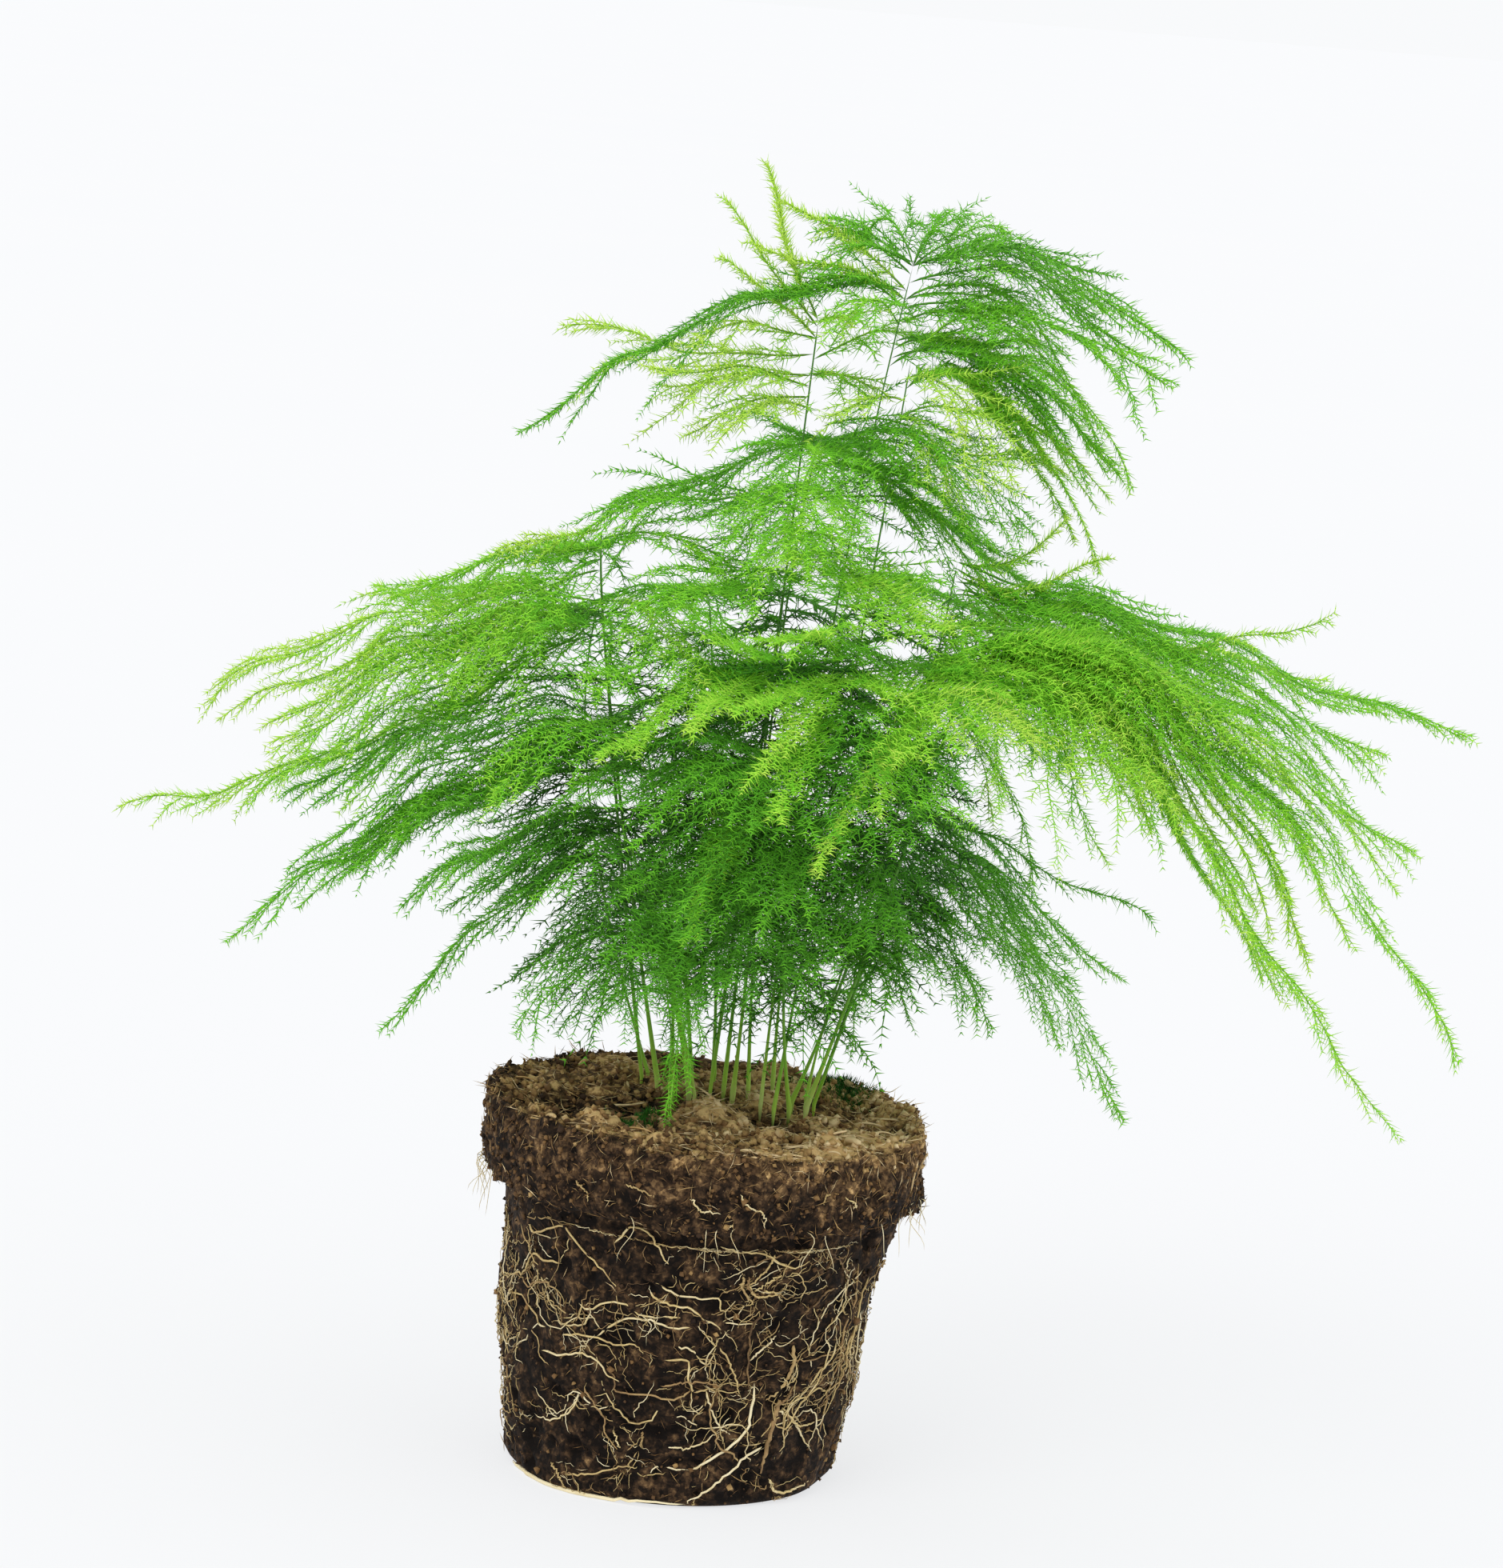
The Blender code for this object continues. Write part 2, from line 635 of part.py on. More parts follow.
def soil_height(x, y):
    """Change in the soil's height: slow waves and the lumps and hollows of the table."""
    u, v = x / MM, y / MM
    change = SOIL_RELIEF / MM * (np.sin(0.23 * u + 1.1) * np.cos(0.19 * v) + np.sin(0.31 * v - 0.17 * u))
    for place_x, place_y, height, width in SOIL_LUMPS:
        change = change + height * np.exp(-((u - place_x) ** 2 + (v - place_y) ** 2) / width ** 2)
    return change * MM


def wall_relief(angle, height):
    """Change in the wall's radius: waves round the ball that slant as they rise."""
    z = height / MM
    waves = np.sin(5 * angle + 0.11 * z) + np.sin(8 * angle - 0.16 * z + 1)
    return WALL_RELIEF * (waves + np.sin(3 * angle + 0.07 * z + 2))


def settle(place):
    """Points of the upright ball where they lie in the leaning one."""
    x, y, z = place.T
    lean = BALL_LEAN * np.clip(1 - z / BALL_BAND_FOOT_HEIGHT, 0, 1)
    return np.stack((x - lean, y, z * (1 - BALL_TILT * x)), 1)


def make_root_ball(parts):
    """Turn the section, give the surface its relief, and cut the plain stem holes."""
    section = bpy.data.meshes.new("root_ball")
    profile = ball_profile()
    section.from_pydata([(r, 0, z) for r, z in profile], [(k, k + 1) for k in range(len(profile) - 1)], [])
    ball = new_object("root_ball", section, parts)
    turn = ball.modifiers.new("turn", "SCREW")
    turn.steps = BALL_STEPS
    turn.render_steps = BALL_STEPS
    turn.use_merge_vertices = True
    turn.merge_threshold = 0.0001
    replace_mesh(ball)
    count = len(ball.data.vertices)
    flat = np.zeros(count * 3, "f4")
    ball.data.vertices.foreach_get("co", flat)
    place = flat.reshape(-1, 3).astype(float)
    radius = np.hypot(place[:, 0], place[:, 1])
    angle = np.arctan2(place[:, 1], place[:, 0])
    on_top = place[:, 2] > BALL_RIM_HEIGHT - 4 * MM
    fade = np.clip((BALL_RIM_RADIUS + 2 * MM - radius) / (12 * MM), 0.35, 1)
    on_wall = (place[:, 2] > 1 * MM) & (radius > BALL_FOOT_RADIUS - 1 * MM) & ~(on_top & (radius < 52 * MM))
    place[:, 2] += np.where(on_top, soil_height(place[:, 0], place[:, 1]) * fade, 0)
    grown = np.where(on_wall, 1 + wall_relief(angle, place[:, 2]) / np.maximum(radius, MM), 1)
    place[:, :2] *= grown[:, None]
    place = settle(place)
    ball.data.vertices.foreach_set("co", place.astype("f4").ravel())
    holes = helper_collection("stem_holes")
    floor = STEM_COLLAR - STEM_SINK - HOLE_FLOOR_GAP
    height = BALL_RIM_HEIGHT + 12 * MM - floor
    for name, shoot in SHOOTS.items():
        cutter = bpy.data.meshes.new(f"{name}_hole")
        body = bmesh.new()
        bmesh.ops.create_cone(body, cap_ends=True, segments=6, radius1=HOLE_RADIUS, radius2=HOLE_RADIUS,
                              depth=height)
        x, y = shoot["foot"]
        bmesh.ops.translate(body, verts=body.verts, vec=(x * MM, y * MM, floor + height / 2))
        body.to_mesh(cutter)
        body.free()
        new_object(cutter.name, cutter, holes)
    combine(ball, "DIFFERENCE", holes, "EXACT")
    finish(ball, "root_ball", (0.075, 0.042, 0.022), 0.95, 40)
    return ball


def seat_on_ball(angle, height, ball_tree):
    """Points that lie on the ball's wall at the angles and heights, a root's radius and a gap out."""
    points = []
    for a, z in zip(angle, height):
        out = Vector((math.cos(a), math.sin(a), 0))
        hit, _, _, reach = ball_tree.ray_cast(Vector((0, 0, z)) + out * 0.2, -out)
        points.append(hit + out * (ROOT_RADIUS + ROOT_GAP))
    return np.array(points)


def root_path(angle, height, ball_tree):
    """A seated path, lifted wherever a straight piece would dip into the ball."""
    points = seat_on_ball(angle, height, ball_tree)
    for _ in range(2):
        middle_seat = seat_on_ball((angle[1:] + angle[:-1]) / 2, (height[1:] + height[:-1]) / 2, ball_tree)
        middle = (points[1:] + points[:-1]) / 2
        lack = np.hypot(*middle_seat[:, :2].T) - np.hypot(*middle[:, :2].T)
        lift = np.zeros(len(points))
        lift[:-1] = np.maximum(lift[:-1], lack)
        lift[1:] = np.maximum(lift[1:], lack)
        out = np.stack((np.cos(angle), np.sin(angle), np.zeros(len(angle))), 1)
        points = points + np.maximum(lift, 0)[:, None] * out
    return points


def make_root_net(parts, ball, section):
    """Rings of root round the ball and roots that wander down across them, joined in one body."""
    ball_tree = BVHTree.FromObject(ball, bpy.context.evaluated_depsgraph_get())
    draw = np.random.default_rng(7)
    roots = helper_collection("roots")
    meshes = []
    for height, swing, waves in ROOT_RINGS:
        up = height * MM / BALL_BAND_FOOT_HEIGHT
        mean = BALL_FOOT_RADIUS * (1 - up) + BALL_WALL_TOP_RADIUS * up
        count = int(2 * math.pi * mean / ROOT_PIECE)
        angle = np.linspace(0, 2 * math.pi, count, endpoint=False)
        z = (height + swing * np.sin(waves * angle + height)) * MM
        path = root_path(np.append(angle, angle[0]), np.append(z, z[0]), ball_tree)
        seam = path[[0, -1]]
        path[0] = seam[np.hypot(seam[:, 0], seam[:, 1]).argmax()]
        meshes.append(tube_mesh(path[:-1], np.full(count, ROOT_RADIUS), section, cyclic=True))
    for run in range(ROOT_RUNS):
        top = draw.uniform(*ROOT_TOPS)
        foot = draw.uniform(*ROOT_FEET) if run % 3 else ROOT_RINGS[0][0] - 1
        count = int((top - foot) * MM / ROOT_PIECE * 1.3)
        down = np.linspace(0, 1, count)
        angle = 2 * math.pi * (run + draw.uniform(-0.3, 0.3)) / ROOT_RUNS
        angle = angle + draw.choice((-1, 1)) * draw.uniform(0.2, 0.9) * down
        angle = angle + 0.12 * np.sin(down * draw.uniform(7, 12) + run)
        z = (top + (foot - top) * down + 2.5 * np.sin(down * 9.42 + run) * (1 - down)) * MM
        radii = ROOT_RADIUS * (1 - 0.2 * down)
        meshes.append(tube_mesh(root_path(angle, z, ball_tree), radii, section, twist=run))
    for mesh in meshes:
        weld_tube(mesh)
    net = new_object("root_net", meshes[0], parts)
    for number, mesh in enumerate(meshes[1:]):
        new_object(f"root_{number}", mesh, roots)
    combine(net, "UNION", roots, "MANIFOLD")
    finish(net, "root_net", (0.62, 0.50, 0.33), 0.6, 60)


def branch_mesh(axis, radii, first_whorl, section, room, owner, twist):
    """One frond middle or twig: a slim tapered core with whorls of needles out to its tip."""
    shares, bearing = branch_rings(axis, first_whorl)
    path = points_on(axis, shares)
    taper = radii[0] + (radii[1] - radii[0]) * shares
    mesh = tube_mesh(path, taper, section, twist)
    raise_needles(mesh, path, bearing, room, owner)
    return mesh


def make_shoot(name, plan, room, parts, stem_section, branch_section):
    """Sweep the stem, then join its fronds and twigs to it in one body."""
    path = points_on(plan["stem"], STEM_SHARES)
    path = np.vstack((path[0] - np.array((0, 0, STEM_SINK)), path))
    taper = STEM_FOOT_RADIUS + (STEM_TOP_RADIUS - STEM_FOOT_RADIUS) * STEM_SHARES
    radii = np.append(STEM_FOOT_RADIUS, taper)
    mesh = tube_mesh(path, radii, stem_section)
    weld_tube(mesh)
    shoot = new_object(name, mesh, parts)
    branches = helper_collection(f"{name}_branches")
    for number, axis in enumerate(plan["fronds"]):
        mesh = branch_mesh(axis, FROND_RADII, FROND_FIRST_WHORL, branch_section, room, name, number)
        new_object(f"{name}_frond_{number}", mesh, branches)
    for number, axis in enumerate(plan["twigs"]):
        mesh = branch_mesh(axis, TWIG_RADII, TWIG_FIRST_WHORL, branch_section, room, name, number * 0.7)
        new_object(f"{name}_twig_{number}", mesh, branches)
    combine(shoot, "UNION", branches, "MANIFOLD")
    thin = shoot.modifiers.new("thin", "DECIMATE")
    thin.ratio = KEPT_SHARE
    replace_mesh(shoot)
    finish(shoot, name, (0.10, 0.30, 0.05), 0.55, 60)


def main():
    """Clear the scene and build the plant."""
    for thing in list(bpy.data.objects):
        bpy.data.objects.remove(thing)
    parts = bpy.data.collections.new("asparagus_fern")
    bpy.context.scene.collection.children.link(parts)
    branch_section = section_curve("branch_section", 3)
    stem_section = section_curve("stem_section", 5)
    ball = make_root_ball(parts)
    make_root_net(parts, ball, branch_section)
    plan, room = lay_out_axes()
    for name in SHOOTS:
        make_shoot(name, plan[name], room, parts, stem_section, branch_section)
    for section in (branch_section, stem_section):
        bpy.data.objects.remove(section)


main()
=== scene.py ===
"""Asparagus fern, Asparagus setaceus, lifted out of its nursery pot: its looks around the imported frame.

Every shape is worked out with numpy as whole arrays and put straight into its mesh. The shoots follow the
same stems and fronds as the solids, so each fine piece keeps its solid's form. Lengths in the tables are
millimetres; everything built is in metres, +Z up, with the front at -Y.
"""
import math
from collections import namedtuple

import bpy
import numpy as np
from mathutils import Matrix


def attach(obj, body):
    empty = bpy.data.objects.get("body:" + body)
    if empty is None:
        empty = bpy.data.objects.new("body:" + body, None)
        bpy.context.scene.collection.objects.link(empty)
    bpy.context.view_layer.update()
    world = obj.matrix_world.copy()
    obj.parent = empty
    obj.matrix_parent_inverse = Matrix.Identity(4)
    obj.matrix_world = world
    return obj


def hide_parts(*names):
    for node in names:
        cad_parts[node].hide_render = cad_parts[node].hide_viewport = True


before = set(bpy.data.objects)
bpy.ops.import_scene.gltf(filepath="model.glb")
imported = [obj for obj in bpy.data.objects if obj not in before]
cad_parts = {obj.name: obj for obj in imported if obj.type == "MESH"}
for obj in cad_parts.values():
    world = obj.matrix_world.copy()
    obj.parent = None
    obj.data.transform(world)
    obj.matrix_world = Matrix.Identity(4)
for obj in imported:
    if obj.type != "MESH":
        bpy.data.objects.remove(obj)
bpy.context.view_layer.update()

MM = 0.001
TURN = 2 * np.pi
DOWN = np.array((0.0, 0.0, -1.0))

# Camera: it looks slightly down on the plant and is turned a little about its own line of sight.
CAMERA_RISE = math.radians(9.0)
CAMERA_TURN = math.radians(4.44)
CAMERA_DISTANCE = 1.3
CAMERA_AIM = np.array((0.0051, 0.0, 0.182))
CAMERA_LENS = 115.3
# The floor shines a little of its own, so that shadows stay as faint as on a lit studio table.
FLOOR_GLOW = 0.71
FLOOR_RADIUS = 120
FLOOR_DROP = 0.0002
FLOOR_TINTS = ((0.215, 0.22, 0.225), (0.225, 0.225, 0.225))
GLOW_TINT = (0.98, 0.985, 1.0)
SURROUNDINGS = (0.945, 0.955, 0.968)
# Each sun: where it stands, how broad it is in degrees, and its strength.
SUNS = {"key": ((-0.9, -1.5, 1.9), 35, 0.85), "fill": ((1.6, -0.9, 1.5), 60, 0.3)}

# Colours along each ramp: the place from 0 to 1, then red, green and blue.
# The leaf ramp's darkest stops also serve the painted shade of the sprays inside the bush.
LEAF_COLOURS = (
    (0.0, 0.010, 0.062, 0.005), (0.15, 0.042, 0.195, 0.010), (0.35, 0.115, 0.450, 0.018),
    (0.6, 0.225, 0.700, 0.028), (0.85, 0.400, 0.860, 0.050), (1.0, 0.620, 0.920, 0.110))
STEM_AND_SHADE_COLOURS = (
    (0.0, 0.66, 0.80, 0.26), (0.06, 0.42, 0.70, 0.09), (0.14, 0.23, 0.52, 0.05),
    (0.26, 0.11, 0.29, 0.035), (1.0, 0.090, 0.25, 0.035))
SOIL_COLOURS = (
    (0.0, 0.004, 0.002, 0.001), (0.28, 0.022, 0.012, 0.006), (0.5, 0.078, 0.043, 0.020),
    (0.7, 0.185, 0.110, 0.048), (0.88, 0.42, 0.255, 0.105), (1.0, 0.64, 0.43, 0.19))
LITTER_COLOURS = (
    (0.0, 0.010, 0.005, 0.003), (0.3, 0.052, 0.027, 0.013), (0.55, 0.19, 0.102, 0.038),
    (0.8, 0.47, 0.30, 0.115), (1.0, 0.78, 0.60, 0.34))
ROOT_COLOURS = (
    (0.0, 0.10, 0.055, 0.022), (0.3, 0.34, 0.21, 0.085), (0.65, 0.62, 0.47, 0.20), (1.0, 0.86, 0.75, 0.48))

# Root ball: the inside of a 12 cm nursery pot, with the fuller band that the pot's collar gave it.
BALL_RIM_RADIUS = 57.5
BALL_BAND_FOOT_RADIUS = 56.2
BALL_WALL_TOP_RADIUS = 52.0
BALL_FOOT_RADIUS = 43.2
BALL_RIM_HEIGHT = 98.0
BALL_BAND_FOOT_HEIGHT = 76.0
SOIL_HEIGHT = 94.5
WALL_RELIEF = 0.45
SOIL_RELIEF = 0.8
# The ball leans: its foot stands this far left of its rim's middle, and its right side has sunk by this
# share of the height for each metre from the middle.
BALL_LEAN = 3.8
BALL_TILT = 0.36
# The rim has crumbled by up to this much, most in front, and stands higher at its left and right ends.
RIM_WEAR = 2.6
RIM_ENDS = (0.4, 1.4)
# Lumps and hollows in the top of the soil: x, y, height and half width.
SOIL_LUMPS = (
    (3, -14, 5.0, 9), (-33, -8, -7.0, 9), (-16, -2, -6.0, 7), (16, -6, -5.0, 6), (32, 21, -4.5, 10),
    (37, -28, 2.5, 12), (-31, -40, 2.0, 11), (-46, 12, 2.5, 9), (-22, 36, 2.5, 10), (39, 35, 3.5, 11),
)
# The ball's surface is a grid: this many points round it, and rows this far apart.
BALL_TURNS = 232
BALL_ROW = 1.55
# Its zones, each fading in between two heights or two distances from the middle line. The top fades inwards.
TOP_HEIGHTS, TOP_REACHES = (88 * MM, 92 * MM), (-56 * MM, -52 * MM)
EDGE_HEIGHTS, EDGE_REACHES = (90 * MM, 96 * MM), (46 * MM, 55 * MM)
SIDE_REACHES, UNDERSIDE_HEIGHTS = (40 * MM, 43 * MM), (0.2 * MM, 3 * MM)
HOLLOW_REACHES, HOLLOW_HEIGHTS = (52 * MM, 56 * MM), (78 * MM, 84 * MM)
PIT_DEPTHS = (0.22, 0.5)
# Its crumbly relief on the top, band and wall: clods, a level, crumbs and pits.
BALL_ROUGHNESS = ((4.6, -1.4, 1.9, -1.2), (2.0, -0.8, 1.1, -1.0), (1.2, -0.4, 0.7, -1.8))
CLOD_SIZE = 8 * MM
CRUMB_SIZE = 3 * MM
PIT_SIZE = 5.5 * MM
# Roots lie on that relief after this many rounds of softening.
SEAT_SOFTENING = 8
# Painted shade: a lump paints the soil lighter by this for each millimetre of its height, and its litter by
# this for each metre; hollows paint both darker.
PAINTED_HILL_SHADE = 0.65
PAINTED_HOLLOW_SHADE = 55

# Crumbs on the top, band and wall: how many, their sizes and tone. Then how likely one strays elsewhere, its
# half axes as shares of its size, and how far it stands out of the soil.
CRUMBS = ((2500, (0.4, 2.0), 0.56), (1800, (0.35, 1.3), 0.36), (1450, (0.3, 1.1), 0.26))
STRAY_CRUMBS = 0.02
CRUMB_AXES = (0.55, 1.1)
CRUMB_RISE = 0.35
# Peat fibres on the same three: how many, their lengths, how far they stand up, radius and tone. Then how
# likely one strays elsewhere, and its gap to the soil.
FIBRES = (
    (2300, (3, 9), 0.15, 0.16, 0.80), (2000, (2, 6), 0.10, 0.12, 0.56), (1000, (2, 6), 0.10, 0.11, 0.50))
STRAY_FIBRES = 0.01
FIBRE_GAP = 0.1 * MM
# Straws that lie anywhere on the top and band.
LOOSE_STRAWS = 50
LOOSE_STRAW_LENGTHS = (4, 12)
LOOSE_STRAW_RADII = (0.36 * MM, 0.26 * MM)
# Straws and chips seen on the soil: the two ends on the plan, radius, and tone.
STRAWS = (
    ((-52, 9), (-45, 4), 0.28, 0.75), ((-46, -30), (-42, -44), 0.35, 0.85),
    ((-26, 36), (-19, 28), 0.35, 0.85), ((-35, 34), (-32, 32), 0.8, 0.8), ((-22, 7), (-16, 9), 0.28, 0.75),
    ((39, 5), (47, 6), 0.42, 1.0), ((30, -14), (32, -29), 0.48, 0.95), ((36, -26), (41, -33), 1.15, 1.0),
    ((22, -9), (23, -18), 0.28, 0.95), ((-12, -33), (-10, -41), 0.35, 0.85),
    ((32, -38), (36, -40), 0.32, 1.0), ((27, -25), (27, -40), 0.25, 0.8), ((6, -24), (7, -33), 0.25, 0.75),
    ((-41, -35), (-38, -40), 0.75, 0.85), ((-20, -44), (-13, -46), 0.3, 0.8),
    ((8, -47), (13, -50), 0.7, 0.95), ((44, -14), (50, -9), 0.3, 0.9), ((20, -48), (28, -45), 0.28, 0.85),
)
STRAW_GAP = 0.4
STRAW_BOW = 1.2 * MM
# Moss: a strip in front of the stems and a cushion at the back right. Each has a path on the plan, a number
# of leaves, how far they scatter, and their lengths.
MOSS = (
    (((-26, -28), (-21, -28), (-16, -22), (-12, -8), (-10, 3)), 1300, 1.1, (1.0, 2.6)),
    (((26, 42), (34, 40), (41, 32)), 1300, 3.4, (1.2, 3.0)),
)
MOSS_TILT = 0.55
MOSS_RADIUS = 0.16 * MM
MOSS_TONES = (0.0, 0.16)

# Stems, fronds and twigs: the same driving sizes as the solids.
STEM_SINK = 9.5 * MM
STEM_COLLAR = 97.0
STEM_SHARES = np.linspace(0, 1, 7)
FROND_FIRST_WHORL = 0.3
WHORL_PITCH = 17.0 * MM
LAST_WHORL = 5.0 * MM
WHORL_MARGIN = 2.5 * MM
NEEDLE_FOOT = 0.9 * MM
LONGEST_PIECE = 24.0 * MM
FROND_ROOM = 2.6 * MM
EXTRA_ROOM = 1.12
BENDS = 16
# Each time, a curve is bent by this share of the room it lacks. Its middle's pull counts for at least this.
BEND_SHARE = 0.6
LEAST_PULL = 0.12
# A frond's middle control point lies at this share of its way from the stem to the tip, and is raised.
FROND_MIDDLE = 0.42

# Stem radii from the soil up: swollen in its papery sheath, then slim.
STEM_HEIGHTS = (0.0, 0.05, 0.12, 0.5, 1.0)
STEM_RADII = (0.84 * MM, 0.62 * MM, 0.46 * MM, 0.38 * MM, 0.25 * MM)
STEM_THICKNESSES = (0.70, 1.05)
STEM_POINTS = 26
STEM_FACING = np.array((0.2, -1.0, 0.1))

# Twigs left and right of a frond, side twigs on the longer ones, and combs of fine needles on them all.
# Leans are in degrees from the frond's middle. Legs are the shares of a twig's length that its two straight
# control legs take. Droops and bows are shares of its length too.
TWIG_START = 0.03
TWIG_END = 0.99
TWIG_LEAN_FOOT = 44
TWIG_LEAN_TIP = 24
TWIG_BEND = 15
TWIG_LEGS = (0.55, 0.5)
TWIG_WIDENING = 1.12
TWIG_REACHES = (0.78, 1.15)
SHORTEST_TWIG = 2.2
TWIG_BOWS = (-0.02, 0.06)
TWIG_DROOPS = (0.03, 0.32)
HANGING_TWIGS = 0.12
HANG = 0.75
MIDDLE_DROOP = 0.2
ROLL_SHARE = 0.6
SIDE_TWIG_SHARE = 0.32
SIDE_TWIG_LEAN = math.radians(34)
SIDE_TWIG_LEGS = (0.55, 0.48)
SIDE_TWIG_CURL = 0.35
SIDE_TWIG_REACHES = (0.7, 1.1)
SIDE_TWIG_EXTRA = 1.5 * MM
SIDE_TWIG_DROOPS = (0, 0.12)
SHORTEST_SIDE_TWIG = 3 * MM
SHORTEST_BRANCHING_TWIG = 8.0 * MM
FROND_RADII = (0.30 * MM, 0.13 * MM)
TWIG_RADII = (0.19 * MM, 0.10 * MM)
SIDE_TWIG_RADII = (0.13 * MM, 0.13 * MM)
NEEDLE_LEANS = (math.radians(46), math.radians(66))
NEEDLE_TURN = math.radians(58)
LAST_NEEDLES = 0.99
SPRAY_FLATNESS = 0.5
# Where needles start on a frond's middle, a twig and a side twig, and their lengths at its foot, halfway
# and at its tip, as shares of the full length.
MIDDLE_NEEDLES = (0.12, (1, 1, 0.6))
TWIG_NEEDLES = (0.06, (1, 0.95, 0.45))
SIDE_TWIG_NEEDLES = (0.04, (1, 0.95, 0.5))
# Nodes stand wider apart at a frond's foot, closer at its tip, and closest along its middle.
NODE_SHARES = (1.32, 0.80)
MIDDLE_NODE_SHARE = 0.8

# How finely a spray is built, in metres: the gaps between its twigs, its side twigs and its nodes, and its
# needles' lengths and radius. Fine ones are the rule, plumes are the slim light ones, the shoots at the back
# have plainer ones, and the ones inside the bush, painted dark as painted shade, are coarse.
Grain = namedtuple("Grain", "twigs side_twigs nodes needles radius")
FINE = Grain(0.0041, 0.0055, 0.00119, (0.0031, 0.0045), 0.00020)
PLUME = Grain(0.0024, 0.0040, 0.0009, (0.0027, 0.0040), 0.00022)
BACK = Grain(0.0046, 0.0060, 0.0019, (0.0032, 0.0047), 0.00024)
COARSE = Grain(0.0050, 0.0090, 0.0019, (0.0034, 0.0050), 0.00029)
BACK_SHOOTS = ("shoot_09", "shoot_15", "shoot_16")
PLUME_HALF_WIDTH = 9
PLUME_TONE = 0.55

# Sprays inside the bush: heights from, to and apart up each stem, lengths, their share to front and back,
# falls, half widths and tones, how far their middles rise, and how far left and right they may reach. The
# middle stems bear a second, denser set. Their tones are near the darkest green, painted shade for the
# bush's depth. At each height in INNER_LEVELS, they are this share of the full length and this much lighter,
# with less painted shade near the bush's foot and top.
INNER_HEIGHTS = (124, 228, 13.0)
INNER_LENGTHS = (28, 48)
CORE_HEIGHTS = (146, 232, 10.0)
CORE_LENGTHS = (20, 40)
CORE_SHOOTS = ("shoot_01", "shoot_02", "shoot_03", "shoot_04", "shoot_10", "shoot_13", "shoot_14")
INNER_DEPTH = 0.8
INNER_FALLS = (4, 15)
INNER_HALF_WIDTHS = (12, 18)
INNER_PAINTED_SHADE_TONES = (0.0, 0.09)
INNER_RISE = 6
INNER_EDGES = (-52, 58)
INNER_LEVELS = ((120, 160, 200, 225), (0.50, 1.0, 1.0, 0.9), (0.26, 0.0, 0.02, 0.22))
GOLDEN_ANGLE = 2.39996
TRACE_POINTS = 60

# The draws of each stem, frond and set of inner sprays start from these and the number of fronds so far.
STEM_SEED = 900
FROND_SEED = 100
INNER_SEED = 500
CORE_SEED = 700

# Painted light: fronds high up or far out, out of the bush's shade, are lighter than their tone: from, to
# and by how much.
PAINTED_LIGHT_ABOVE = (150, 260, 0.12)
PAINTED_LIGHT_OUTSIDE = (60, 150, 0.08)
# Twigs lighten by this to their frond's tip, needles by this to their twig's, and tones vary by chance.
TWIG_LIGHTENING = 0.30
NEEDLE_LIGHTENING = 0.14
TONE_CHANCE = 0.05
# Slow waves that make the bush's strands sway: wave per millimetre, start, and push in millimetres.
SWAYS = (
    ((0.17, 0.02, 0.05), 0.3, (0.0, 0.5, 1.4)),
    ((-0.06, 0.15, 0.09), 1.7, (0.8, 0.3, 0.9)),
    ((0.10, -0.08, 0.16), 4.1, (1.0, 0.4, 0.5)),
)
SWAY_REACH = 25 * MM
